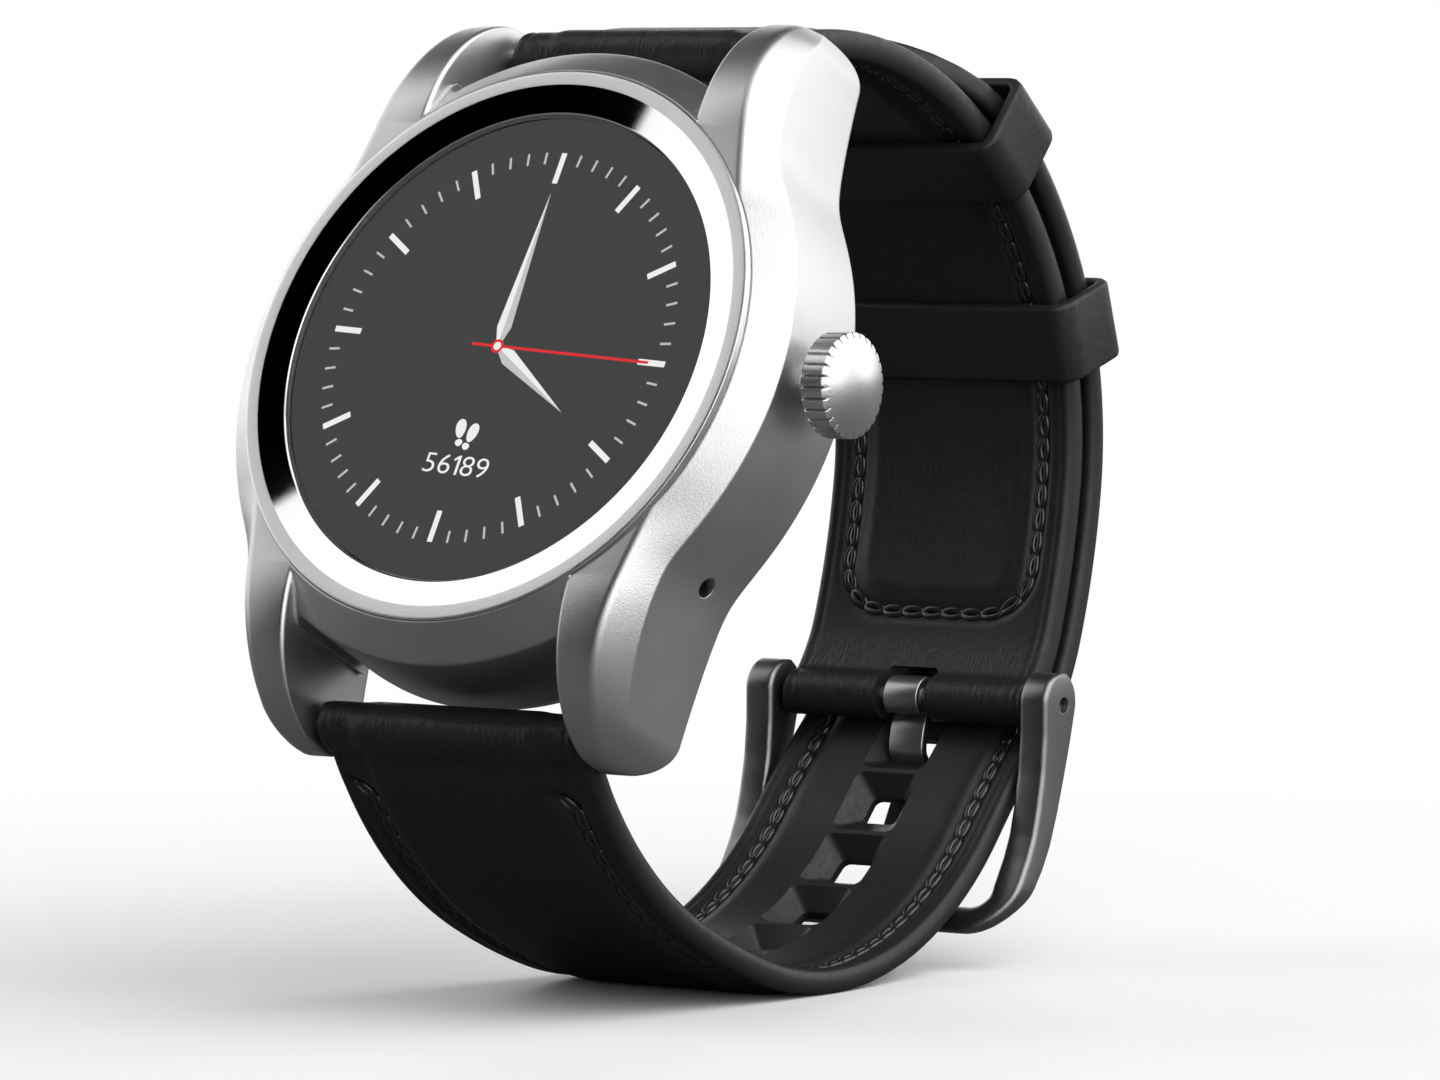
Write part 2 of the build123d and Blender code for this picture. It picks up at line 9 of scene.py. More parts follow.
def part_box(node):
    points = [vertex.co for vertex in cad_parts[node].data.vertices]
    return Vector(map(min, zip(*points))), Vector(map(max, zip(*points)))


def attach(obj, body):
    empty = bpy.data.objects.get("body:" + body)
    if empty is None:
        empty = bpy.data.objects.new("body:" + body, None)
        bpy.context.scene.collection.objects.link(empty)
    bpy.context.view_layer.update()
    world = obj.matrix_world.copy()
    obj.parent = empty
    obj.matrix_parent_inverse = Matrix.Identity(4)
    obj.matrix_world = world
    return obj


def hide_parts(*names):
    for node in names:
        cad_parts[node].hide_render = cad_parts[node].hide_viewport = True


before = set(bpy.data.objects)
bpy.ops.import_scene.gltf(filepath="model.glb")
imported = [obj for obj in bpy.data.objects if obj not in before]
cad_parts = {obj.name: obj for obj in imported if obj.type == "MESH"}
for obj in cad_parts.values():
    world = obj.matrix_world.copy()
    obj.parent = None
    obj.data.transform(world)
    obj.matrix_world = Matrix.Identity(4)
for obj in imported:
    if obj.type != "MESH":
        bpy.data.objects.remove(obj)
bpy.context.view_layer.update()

# ================================================================ frames
# The dial frame: x towards 3 o'clock, u towards 12 o'clock, n out of the dial.  Lengths are in mm, and put()
# turns them into metres.
MM = 0.001
TILT = math.radians(25.5)
X_AX = np.array([1.0, 0.0, 0.0])
U_AX = np.array([0.0, math.sin(TILT), math.cos(TILT)])
N_AX = np.array([0.0, -math.cos(TILT), math.sin(TILT)])

display_lo, display_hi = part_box("display_module")
DISPLAY_MID_N = -1.2
DIAL = (np.array(display_lo) + np.array(display_hi)) / 2 / MM - DISPLAY_MID_N * N_AX


def put(p):
    """Dial-frame points (x, u, n) in mm to row-frame metres."""
    p = np.atleast_2d(np.asarray(p, float))
    return (DIAL + p[:, :1] * X_AX + p[:, 1:2] * U_AX + p[:, 2:3] * N_AX) * MM


# ---------------------------------------------------------------- strap centre lines
# Each line is (start point, heading in degrees, [(signed radius, signed degrees), ...]).  STACK is the
# distance between the two lines where the long strap lies on the short one.
BAR_U, BAR_N = 24.3, -7.15
STACK = 2.85
SHORT_T, LONG_T = 2.0, 1.7
ROLL_R = 1.6
BUCKLE_ROLL_R = 1.64


def dial_yz(u, n):
    return np.array([u * U_AX[1] + n * N_AX[1], u * U_AX[2] + n * N_AX[2]])


SHORT = (tuple(dial_yz(BAR_U, BAR_N)), 13.3,
         [(-30.0, -77.6), (-24.2, -33.8), (-52.5, -10.8), (-13.2, -26.2)])
LONG = (tuple(dial_yz(-BAR_U, BAR_N)), -67.38,
        [(26.94, 40.39), (54.5, 8.6), (25.22, 66.75), (-94.0, -4.9), (18.51, 26.11), (49.41, 12.33),
         (24.2 + STACK, 33.8), (30.0 + STACK, 40.0)])


def length_of(line):
    return sum(abs(r * math.radians(a)) for r, a in line[2])


SHORT_LEN, LONG_LEN = length_of(SHORT), length_of(LONG)


def station(line, s):
    """Point (y, z) from the dial centre and heading in radians at arc length s; straight beyond the ends."""
    (y, z), heading, arcs = line
    h = math.radians(heading)
    if s < 0:
        return y + s * math.cos(h), z + s * math.sin(h), h
    for r, a in arcs:
        arc = abs(r * math.radians(a))
        step = min(s, arc)
        h2 = h + step / r
        y = y - r * math.sin(h) + r * math.sin(h2)
        z = z + r * math.cos(h) - r * math.cos(h2)
        h = h2
        s -= step
        if s <= 1e-9:
            return y, z, h
    return y + s * math.cos(h), z + s * math.sin(h), h


def along(line, s, out, x):
    """Row-frame metres from arrays of s, offset to the left of travel, and x."""
    s = np.asarray(s, float)
    table = {}
    rows = []
    for v in s.ravel():
        if v not in table:
            table[v] = station(line, v)
        rows.append(table[v])
    rows = np.array(rows).reshape(s.shape + (3,))
    y, z, h = rows[..., 0], rows[..., 1], rows[..., 2]
    nx = np.zeros_like(y)
    normal = np.stack([nx, -np.sin(h), np.cos(h)], -1)
    p = np.stack([np.asarray(x, float) + nx, y + DIAL[1], z + DIAL[2]], -1)
    return (p + normal * np.asarray(out, float)[..., None]) * MM


PIN_Y, PIN_Z, _ = station(SHORT, SHORT_LEN)


def half_width(y):
    """Half width of the strap at y from the dial centre."""
    return 10.75 - 0.55 * (y + 4.0) / 54.0


# ================================================================ mesh helpers
def smooth_step(a, b, v):
    t = np.clip((np.asarray(v, float) - a) / (b - a), 0, 1)
    return t * t * (3 - 2 * t)


def smooth_max(a, b, k):
    return 0.5 * (a + b + np.sqrt((a - b) ** 2 + k * k))


def in_scene(name, data):
    obj = bpy.data.objects.new(name, data)
    bpy.context.scene.collection.objects.link(obj)
    return obj


def shade(obj, angle, smooth=True):
    """Smooth shading with edges sharper than the angle kept sharp, or flat shading."""
    mesh = obj.data
    for p in mesh.polygons:
        p.use_smooth = smooth
    if smooth:
        mesh.set_sharp_from_angle(angle=math.radians(angle))


def new_object(name, verts, faces, angle=35.0):
    """Object with its faces turned outwards, smooth up to the angle."""
    mesh = bpy.data.meshes.new(name)
    mesh.from_pydata([tuple(v) for v in verts], [], [tuple(f) for f in faces])
    mesh.validate()
    obj = in_scene(name, mesh)
    bm = bmesh.new()
    bm.from_mesh(mesh)
    bmesh.ops.recalc_face_normals(bm, faces=bm.faces)
    bm.to_mesh(mesh)
    bm.free()
    shade(obj, angle)
    return obj


def grid_faces(rows, cols, wrap_rows=False, wrap_cols=False, base=0, flip=False):
    faces = []
    for i in range(rows if wrap_rows else rows - 1):
        for j in range(cols if wrap_cols else cols - 1):
            a = base + i * cols + j
            b = base + i * cols + (j + 1) % cols
            c = base + ((i + 1) % rows) * cols + (j + 1) % cols
            d = base + ((i + 1) % rows) * cols + j
            faces.append((d, c, b, a) if flip else (a, b, c, d))
    return faces


def tube_faces(rings, k):
    """Tube of rings with k points each, with both ends capped."""
    ends = [tuple(range(k))[::-1], tuple(range((rings - 1) * k, rings * k))]
    return grid_faces(rings, k, wrap_cols=True) + ends


def prism_faces(k):
    """Two loops of k points joined, with both ends capped."""
    sides = [(i, (i + 1) % k, k + (i + 1) % k, k + i) for i in range(k)]
    return [tuple(range(k))[::-1], tuple(range(k, 2 * k))] + sides


def ring_faces(rings, segs, closed=False):
    """Faces between rings of segs points, each given as (is a single point, index of its first point)."""
    faces = []
    pairs = list(zip(rings, rings[1:])) + ([(rings[-1], rings[0])] if closed else [])
    for (pole_a, a), (pole_b, b) in pairs:
        for j in range(segs):
            k = (j + 1) % segs
            if pole_a and not pole_b:
                faces.append((a, b + k, b + j))
            elif pole_b and not pole_a:
                faces.append((a + j, a + k, b))
            elif not pole_a:
                faces.append((a + j, a + k, b + k, b + j))
    return faces


def turned(name, profile, segs, closed=True, transform=put):
    """Ring or disc turned about the dial axis from (radius, n) points; points on the axis close it."""
    th = np.linspace(0, 2 * math.pi, segs, endpoint=False)
    verts, rings = [], []
    for r, n in profile:
        rings.append((r < 1e-6, len(verts)))
        if r < 1e-6:
            verts.append((0, 0, n))
        else:
            verts.extend(zip(r * np.sin(th), r * np.cos(th), np.full(segs, float(n))))
    return new_object(name, transform(verts), ring_faces(rings, segs, closed))


def rounded(points, radii, steps):
    """Closed 2-D polygon with each corner rounded."""
    out = []
    n = len(points)
    for i in range(n):
        p0 = np.array(points[i - 1], float)
        p1 = np.array(points[i], float)
        p2 = np.array(points[(i + 1) % n], float)
        r = radii[i] if hasattr(radii, "__len__") else radii
        a, b = p0 - p1, p2 - p1
        la, lb = np.linalg.norm(a), np.linalg.norm(b)
        a, b = a / la, b / lb
        cosang = np.clip(a @ b, -1, 1)
        half = math.acos(cosang) / 2
        if r <= 1e-6 or half > math.pi / 2 - 0.01:
            out.extend(p1 + (k - steps / 2) * 1e-4 * (b - a) / 2 for k in range(steps + 1))
            continue
        t = min(r / math.tan(half), la * 0.45, lb * 0.45)
        r = t * math.tan(half)
        centre = p1 + (a + b) / np.linalg.norm(a + b) * r / math.sin(half)
        v0 = p1 + a * t - centre
        v1 = p1 + b * t - centre
        a0 = math.atan2(v0[1], v0[0])
        a1 = math.atan2(v1[1], v1[0])
        d = (a1 - a0 + math.pi) % (2 * math.pi) - math.pi
        for k in range(steps + 1):
            ang = a0 + d * k / steps
            out.append(centre + r * np.array([math.cos(ang), math.sin(ang)]))
    return np.array(out)


def boolean(obj, cutter, kind):
    """Apply a boolean to obj and drop the cutter."""
    mod = obj.modifiers.new("cut", "BOOLEAN")
    mod.operation = kind
    mod.solver = "EXACT"
    mod.object = cutter
    deps = bpy.context.evaluated_depsgraph_get()
    deps.update()
    mesh = bpy.data.meshes.new_from_object(obj.evaluated_get(deps))
    old = obj.data
    obj.modifiers.clear()
    obj.data = mesh
    mesh.name = old.name
    bpy.data.meshes.remove(old)
    bpy.data.objects.remove(cutter)


def prism(name, outline, n0, n1, transform=put):
    """Closed prism from one 2-D outline (x, u), between n0 and n1."""
    verts = [(p[0], p[1], n) for n in (n0, n1) for p in outline]
    return new_object(name, transform(verts), prism_faces(len(outline)), 30)


def merge(name, objs):
    """Join objects that have no materials yet into one piece."""
    bm = bmesh.new()
    for o in objs:
        bm.from_mesh(o.data)
        bpy.data.objects.remove(o)
    mesh = bpy.data.meshes.new(name)
    bm.to_mesh(mesh)
    bm.free()
    return in_scene(name, mesh)


def finish_piece(obj, material, body, replaces=()):
    """Give a piece its material and body, and hide the CAD nodes that it stands for."""
    if material is not None:
        obj.data.materials.append(material)
    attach(obj, body)
    if replaces:
        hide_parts(*replaces)


# ================================================================ materials
def node_material(name):
    mat = bpy.data.materials.new(name)
    mat.use_nodes = True
    nt = mat.node_tree
    nt.nodes.clear()
    out = nt.nodes.new("ShaderNodeOutputMaterial")
    bsdf = nt.nodes.new("ShaderNodeBsdfPrincipled")
    nt.links.new(bsdf.outputs[0], out.inputs["Surface"])
    return mat, nt, bsdf, out


def link(nt, a, b):
    nt.links.new(a, b)


def add(nt, kind, **values):
    n = nt.nodes.new(kind)
    for k, v in values.items():
        setattr(n, k, v)
    return n


def with_inputs(node, **values):
    """Set a node's inputs, named with underscores for spaces."""
    for k, v in values.items():
        node.inputs[k.replace("_", " ")].default_value = v
    return node


def coords(nt, scale=(1, 1, 1), rotation=(0, 0, 0)):
    tex = add(nt, "ShaderNodeTexCoord")
    mapping = add(nt, "ShaderNodeMapping")
    mapping.inputs["Scale"].default_value = scale
    mapping.inputs["Rotation"].default_value = rotation
    link(nt, tex.outputs["Object"], mapping.inputs["Vector"])
    return mapping.outputs["Vector"]


def noise(nt, vector, scale, detail):
    n = with_inputs(add(nt, "ShaderNodeTexNoise"), Scale=scale, Detail=detail, Roughness=0.55)
    link(nt, vector, n.inputs["Vector"])
    return n.outputs["Fac"]


def ramp(nt, fac, low, high, p0=0.35, p1=0.65, **kind):
    """low to high as fac goes from p0 to p1."""
    r = with_inputs(add(nt, "ShaderNodeMapRange", **kind), From_Min=p0, From_Max=p1, To_Min=low, To_Max=high)
    link(nt, fac, r.inputs["Value"])
    return r.outputs["Result"]


def tint(nt, fac, colour, spread):
    """Colour varied in value by fac."""
    mix = add(nt, "ShaderNodeMix", data_type="RGBA")
    dark = tuple(c * (1 - spread) for c in colour) + (1,)
    light = tuple(min(1, c * (1 + spread)) for c in colour) + (1,)
    mix.inputs[6].default_value = dark
    mix.inputs[7].default_value = light
    link(nt, fac, mix.inputs[0])
    return mix.outputs[2]


def bump(nt, height, distance, normal=None):
    b = with_inputs(add(nt, "ShaderNodeBump"), Strength=1.0, Distance=distance)
    link(nt, height, b.inputs["Height"])
    if normal is not None:
        link(nt, normal, b.inputs["Normal"])
    return b.outputs["Normal"]


def metal(name, colour, rough, grain=0.00002, grain_scale=9000, brushed=(1, 1, 1), spread=0.04, vary=0.05,
          bevel=0.0):
    """Bead-blasted or brushed metal: fine grain bump, slight tone and roughness changes."""
    mat, nt, bsdf, _ = node_material(name)
    fine = noise(nt, coords(nt, scale=brushed), grain_scale, 2.0)
    broad = noise(nt, coords(nt), 220, 3.0)
    link(nt, tint(nt, broad, colour, spread), bsdf.inputs["Base Color"])
    bsdf.inputs["Metallic"].default_value = 1.0
    rough_mix = add(nt, "ShaderNodeMath", operation="ADD")
    link(nt, ramp(nt, broad, rough - vary / 2, rough + vary / 2), rough_mix.inputs[0])
    link(nt, ramp(nt, fine, -vary / 2, vary / 2), rough_mix.inputs[1])
    link(nt, rough_mix.outputs[0], bsdf.inputs["Roughness"])
    normal = None
    if bevel > 0:
        bev = add(nt, "ShaderNodeBevel", samples=4)
        bev.inputs["Radius"].default_value = bevel
        normal = bev.outputs["Normal"]
    link(nt, bump(nt, fine, grain, normal), bsdf.inputs["Normal"])
    return mat


def moulded(name, colour, rough, grain=0.00002, scale=5000, spec=0.4, vary=0.08):
    """Moulded plastic or rubber with a fine texture."""
    mat, nt, bsdf, _ = node_material(name)
    vec = coords(nt)
    fine = noise(nt, vec, scale, 3.0)
    broad = noise(nt, vec, 260, 2.0)
    link(nt, tint(nt, broad, colour, 0.08), bsdf.inputs["Base Color"])
    link(nt, ramp(nt, fine, rough - vary / 2, rough + vary / 2), bsdf.inputs["Roughness"])
    bsdf.inputs["Specular IOR Level"].default_value = spec
    link(nt, bump(nt, fine, grain), bsdf.inputs["Normal"])
    return mat


def grained(name, colour, rough, grain, fade_attr=None):
    """Black rubber moulded with a fine slanting leather grain, which fades out where the attribute is 0."""
    mat, nt, bsdf, _ = node_material(name)
    slant_a = noise(nt, coords(nt, scale=(1.0, 0.28, 0.28), rotation=(0.6, 0.9, 0.5)), 4200, 2.0)
    slant_b = noise(nt, coords(nt, scale=(0.28, 1.0, 0.28), rotation=(-0.5, -0.8, 0.7)), 4200, 2.0)
    patch = noise(nt, coords(nt), 420, 1.0)
    mix = add(nt, "ShaderNodeMix", data_type="FLOAT")
    link(nt, ramp(nt, patch, 0.0, 1.0, 0.44, 0.56), mix.inputs[0])
    link(nt, slant_a, mix.inputs[2])
    link(nt, slant_b, mix.inputs[3])
    height = mix.outputs[0]
    pores = noise(nt, coords(nt), 9000, 2.0)
    link(nt, tint(nt, patch, colour, 0.10), bsdf.inputs["Base Color"])
    link(nt, ramp(nt, height, rough - 0.07, rough + 0.07), bsdf.inputs["Roughness"])
    bsdf.inputs["Specular IOR Level"].default_value = 0.35
    coarse = bump(nt, height, grain)
    if fade_attr:
        attr = add(nt, "ShaderNodeAttribute", attribute_name=fade_attr)
        link(nt, attr.outputs["Fac"], coarse.node.inputs["Strength"])
    link(nt, bump(nt, pores, 0.000006, coarse), bsdf.inputs["Normal"])
    return mat


def emissive(name, colour, strength):
    """Lit display elements with a faint pixel structure."""
    mat, nt, bsdf, _ = node_material(name)
    wave = add(nt, "ShaderNodeTexWave", wave_type="BANDS")
    wave.inputs["Scale"].default_value = 2400
    link(nt, coords(nt), wave.inputs["Vector"])
    tone = tint(nt, wave.outputs["Fac"], colour, 0.03)
    bsdf.inputs["Base Color"].default_value = (0, 0, 0, 1)
    bsdf.inputs["Specular IOR Level"].default_value = 0.0
    link(nt, tone, bsdf.inputs["Emission Color"])
    bsdf.inputs["Emission Strength"].default_value = strength
    return mat


def clear_glass(name):
    """Thin clear cover: mostly see-through with a Fresnel reflection and a faint smudge."""
    mat, nt, bsdf, out = node_material(name)
    nt.nodes.remove(bsdf)
    trans = add(nt, "ShaderNodeBsdfTransparent")
    trans.inputs["Color"].default_value = (0.985, 0.99, 0.99, 1)
    gloss = add(nt, "ShaderNodeBsdfGlossy")
    smear = noise(nt, coords(nt), 300, 2.0)
    link(nt, ramp(nt, smear, 0.0, 0.03), gloss.inputs["Roughness"])
    gloss.inputs["Color"].default_value = (1, 1, 1, 1)
    fres = add(nt, "ShaderNodeFresnel")
    fres.inputs["IOR"].default_value = 1.07
    mix = add(nt, "ShaderNodeMixShader")
    link(nt, fres.outputs[0], mix.inputs[0])
    link(nt, trans.outputs[0], mix.inputs[1])
    link(nt, gloss.outputs[0], mix.inputs[2])
    link(nt, mix.outputs[0], out.inputs["Surface"])
    return mat


def paint_node(node, mat):
    """Give a CAD node's slots the finished material."""
    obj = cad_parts[node]
    if not obj.data.materials:
        obj.data.materials.append(mat)
    for i in range(len(obj.data.materials)):
        obj.data.materials[i] = mat


M_CASE = metal("case_steel_fine", (0.62, 0.62, 0.62), 0.36, grain=0.000012, bevel=0.00012)
M_BEZEL_FLAT = metal("bezel_satin", (0.78, 0.78, 0.78), 0.34, grain=0.000010)
M_BEZEL_POLISH = metal("bezel_polished", (0.92, 0.92, 0.92), 0.04, grain=0.0000005, vary=0.02, spread=0.01)
M_CROWN = metal("crown_satin", (0.74, 0.74, 0.74), 0.33, grain=0.000010)
M_BUCKLE = metal("buckle_gunmetal", (0.26, 0.26, 0.265), 0.36, grain=0.000014, bevel=0.0001)
M_TONGUE = metal("tongue_brushed", (0.42, 0.42, 0.42), 0.34, grain=0.000006, brushed=(0.06, 1, 1),
                 grain_scale=14000)
M_TURNED = metal("turned_steel", (0.62, 0.62, 0.62), 0.28, grain=0.000004, brushed=(1, 0.1, 0.1),
                 grain_scale=12000)
M_DARK_STEEL = metal("dark_steel", (0.18, 0.18, 0.185), 0.35)
M_GOLD = metal("gold_plate", (0.80, 0.60, 0.26), 0.25, grain=0.000004)
M_BACK = moulded("back_moulded", (0.028, 0.028, 0.03), 0.5, grain=0.000015, scale=7000)
M_BLACK_GLOSS = moulded("dark_window", (0.006, 0.006, 0.008), 0.08, grain=0.0000005, spec=0.5, vary=0.03)
M_INNER = moulded("inner_black", (0.03, 0.03, 0.03), 0.55)
M_RUBBER = moulded("seal_rubber", (0.012, 0.012, 0.012), 0.6)
M_BOARD = moulded("board_mask", (0.02, 0.12, 0.06), 0.35)
M_FOIL = metal("foil_pouch", (0.6, 0.6, 0.62), 0.4, grain=0.00003, grain_scale=1500)
M_DISPLAY = emissive("display_dark", (0.058, 0.058, 0.059), 0.95)
M_WHITE = emissive("display_white", (0.92, 0.92, 0.92), 0.95)
M_GREY = emissive("display_grey", (0.62, 0.62, 0.62), 0.9)
M_RED = emissive("display_red", (0.80, 0.035, 0.035), 0.95)
M_GLASS = clear_glass("crystal_clear")
M_STRAP = grained("strap_rubber", (0.016, 0.016, 0.0165), 0.42, 0.00007, fade_attr="grain")
M_KEEPER = grained("keeper_rubber", (0.018, 0.018, 0.0185), 0.44, 0.00004)
M_THREAD = moulded("stitch_black", (0.014, 0.014, 0.014), 0.24, grain=0.000006, scale=9000, spec=0.7)

# ================================================================ case
CASE_R, SHOULDER_R, LUG_REACH = 21.87, 19.17, 26.1
LUG_INNER = 11.15
LUG_TIP_R = 3.0
LUG_BACK = -10.9
RING_SEGS = 256
LUG_TURN_U = 23.6     # where the side of a lug begins to turn in to its tip
CASE_BACK = -9.3
MIC_U, MIC_N, MIC_R = -13.9, -6.1, 0.6
CROWN_N, CROWN_R = -5.1, 3.41


def side_line(a, radius, x, slope, u, blend):
    """Edge of the case at a distance a from 3 o'clock: a circle running into the straight side of the lugs."""
    return smooth_max(math.sqrt(max(radius ** 2 - a * a, 0)), x + slope * (u - a), blend)


def wall_line(a):
    return side_line(a, CASE_R, 15.12, 0.195, LUG_TURN_U, 0.81)


def fall(a, start, run, drop):
    """Quarter-ellipse fall that is level at start and would be drop deep after run."""
    return drop * (1 - math.sqrt(1 - ((a - start) / run) ** 2)) if a > start else 0.0


def case_section(u):
    """Rounded cross-section of one case side at u, as (x, n)."""
    a = abs(u)
    wall = wall_line(a) - fall(a, LUG_TURN_U, 3.0, 3.4)
    shoulder = min(side_line(a, SHOULDER_R, 14.94, 0.18, 16.9, 0.68), wall - 0.7)
    wall_top = -1.75 - fall(a, 13.5, 13.1, 8.4)
    top = 0.25 - fall(a, 16.2, 9.95, 8.2)
    back = CASE_BACK
    if a > 11.5:
        back -= 2.3 * ((a - 11.5) / 14.8) ** 1.6
    corner = LUG_REACH - LUG_TIP_R
    if a > corner:
        back = max(back, LUG_BACK + LUG_TIP_R - math.sqrt(max(LUG_TIP_R ** 2 - (a - corner) ** 2, 0)))
    pts = [(LUG_INNER, top + 0.1), (shoulder, top), (wall, wall_top), (wall, back), (LUG_INNER, back)]
    return rounded(pts, [0.35, 0.9, 0.22, 0.45, 0.35], 6)


def bench(p):
    """Dial-frame points kept in mm: the case is cut square to its own axes and placed once at the end."""
    return np.atleast_2d(np.asarray(p, float))


def case_side(sign):
    us = np.concatenate([np.linspace(0, 22.5, 76), np.linspace(22.8, LUG_REACH - 0.35, 24)])
    us = np.concatenate([-us[::-1], us[1:]])
    rings = []
    # the tips close in over a small rounded edge
    edge = 0.35
    lead = [(LUG_REACH - edge * (1 - math.sin(t)), edge * (1 - math.cos(t)))
            for t in np.linspace(0.3, math.pi / 2, 5)]
    for u, inset in [(-u, i) for u, i in reversed(lead)] + [(u, 0.0) for u in us] + lead:
        sec = case_section(u)
        if inset:
            mid = sec.mean(0)
            span = sec - mid
            size = np.abs(span).max(0)
            sec = mid + span * (1 - inset / size)
        rings.append([(sign * x, u, n) for x, n in sec])
    verts = [p for r in rings for p in r]
    return new_object("case_side", bench(verts), tube_faces(len(rings), len(rings[0])))


def crown_bore():
    """Cutter for the crown's bore, along x."""
    segs = 48
    verts = [(x, 1.5 * math.cos(t), CROWN_N + 1.5 * math.sin(t))
             for x in (14.0, 30.0) for t in np.linspace(0, 2 * math.pi, segs, endpoint=False)]
    return new_object("crown_bore", bench(verts), prism_faces(segs))


def slab(x0, x1, u):
    """Box that keeps what lies between x0 and x1, and within u on either side."""
    return prism("slab", [(x0, -u), (x1, -u), (x1, u), (x0, u)], -12, 2, transform=bench)


def case_body():
    """Drum and two sides in one mesh, with the microphone's and the crown's bores and the inside cut out."""
    drum = turned("case_body", [(15.0, 0.44), (19.62, 0.44), (19.72, 0.41), (19.84, 0.31), (20.3, -0.06),
                                (20.9, -0.6), (21.45, -1.14), (21.7, -1.4), (21.8, -1.53), (21.83, -1.7),
                                (21.84, -1.95), (21.95, -4.5), (22.12, -8.3), (22.1, -8.7), (21.95, -9.1),
                                (21.6, CASE_BACK), (15.0, CASE_BACK)], RING_SEGS, transform=bench)
    boolean(drum, slab(-11.5, 11.5, 23), "INTERSECT")
    right = case_side(1)
    wall = float(wall_line(-MIC_U))
    mic = turned("mic_bore", [(0, -3.0), (MIC_R, -3.0), (MIC_R, -0.35), (0.70, 0.35), (0.86, 1.5), (0, 1.5)],
                 40, closed=False,
                 transform=lambda v: bench([(wall + n, MIC_U + a, MIC_N + b) for a, b, n in v]))
    boolean(right, mic, "DIFFERENCE")
    boolean(right, crown_bore(), "DIFFERENCE")
    boolean(drum, right, "UNION")
    boolean(drum, case_side(-1), "UNION")
    # a low collar stands on each lug's inner face round the end of the drum
    for sign in (1, -1):
        collar = turned("collar", [(19.9, 0.1), (20.1, 0.1), (20.4, -0.02), (22.1, -1.15), (22.4, -1.5),
                                   (22.45, -1.9), (22.75, -9.2), (22.7, -9.25), (19.9, -9.25)],
                        RING_SEGS, transform=bench)
        x0, x1 = sorted((sign * (LUG_INNER - 0.28), sign * (LUG_INNER + 0.6)))
        boolean(collar, slab(x0, x1, 23.5), "INTERSECT")
        boolean(drum, collar, "UNION")
    inside = turned("inside", [(0, 4), (19.6, 4), (19.6, -1.2), (17.6, -1.2), (17.6, -2.2), (18.8, -2.2),
                               (18.8, -14), (0, -14)], RING_SEGS, closed=False, transform=bench)
    boolean(drum, inside, "DIFFERENCE")
    for v in drum.data.vertices:
        v.co = put(v.co)[0]
    shade(drum, 28)
    return drum


def two_materials(obj, first, second, takes_second):
    """Give a piece two materials; takes_second picks the second's faces from their x, u, n and normal."""
    obj.data.materials.append(first)
    obj.data.materials.append(second)
    for face in obj.data.polygons:
        c = np.array(face.center) / MM - DIAL
        if takes_second(c @ X_AX, c @ U_AX, c @ N_AX, face.normal):
            face.material_index = 1


def mic_bore_painted_shade(x, u, n, normal):
    """The walls of the microphone's bore, which take dark rubber as painted shade inside the hole."""
    return x > 11 and abs(normal.x) < 0.3 and math.hypot(u - MIC_U, n - MIC_N) < MIC_R + 0.01


case = case_body()
# the microphone bore's walls get the dark rubber as painted shade inside the hole
two_materials(case, M_CASE, M_RUBBER, mic_bore_painted_shade)
finish_piece(case, None, "watch", ["mid_case"])

# bezel: polished inner bevel, satin flat
bezel = turned("bezel_visual", [(16.58, -1.15), (19.5, -1.15), (19.57, -1.1), (19.57, 0.42), (19.55, 0.49),
                                (19.5, 0.53), (19.4, 0.55), (19.3, 0.55), (18.62, 0.55), (18.54, 0.545),
                                (18.46, 0.52), (16.8, 0.225), (16.66, 0.19), (16.58, 0.12)], RING_SEGS)
two_materials(bezel, M_BEZEL_FLAT, M_BEZEL_POLISH, lambda x, u, n, _: math.hypot(x, u) < 18.56 and n > 0.1)
finish_piece(bezel, None, "watch", ["bezel_ring"])

glass = turned("crystal_visual", [(0, -0.4), (16.3, -0.4), (16.42, -0.4), (16.5, -0.36), (16.5, 0.1),
                                  (16.46, 0.16), (16.38, 0.2), (16.28, 0.2), (0, 0.2)], 192, closed=False)
finish_piece(glass, M_GLASS, "watch", ["crystal"])

border = turned("display_border", [(15.2, -0.48), (16.5, -0.48), (16.5, -0.41), (15.2, -0.41)], 192)
finish_piece(border, M_DISPLAY, "watch")

# ================================================================ display graphics
FACE_R = 13.5     # the graphics below are drawn in units of this radius
DIAL_TURN = math.radians(-4.1)
GRAPHIC_N0, GRAPHIC_N1 = -0.46, -0.43
CENTRE = np.array([-0.22, 0.15])


def turn2(p, ang):
    p = np.atleast_2d(np.asarray(p, float))
    c, s = math.cos(ang), math.sin(ang)
    return np.stack([p[:, 0] * c - p[:, 1] * s, p[:, 0] * s + p[:, 1] * c], -1)


def graphic(name, outlines, mat, n0=GRAPHIC_N0, n1=GRAPHIC_N1):
    parts = [prism(name, turn2(np.asarray(o) * FACE_R, DIAL_TURN) + CENTRE, n0, n1) for o in outlines]
    obj = merge(name, parts)
    shade(obj, 0, smooth=False)
    finish_piece(obj, mat, "watch")


def clock(r, deg):
    """Point at a radius and an angle clockwise from 12."""
    return np.array([r * math.sin(math.radians(deg)), r * math.cos(math.radians(deg))])


def bar(r0, r1, deg, width):
    """Rectangle from r0 to r1 at an angle clockwise from 12."""
    side = clock(1, deg + 90) * width / 2
    return [clock(r0, deg) - side, clock(r1, deg) - side, clock(r1, deg) + side, clock(r0, deg) + side]


graphic("ticks_major", [bar(0.868, 1.03, 30 * i, 0.030) for i in range(12)], M_WHITE)
graphic("ticks_minor", [bar(0.968, 1.03, 6 * i, 0.011) for i in range(60) if i % 5], M_GREY)


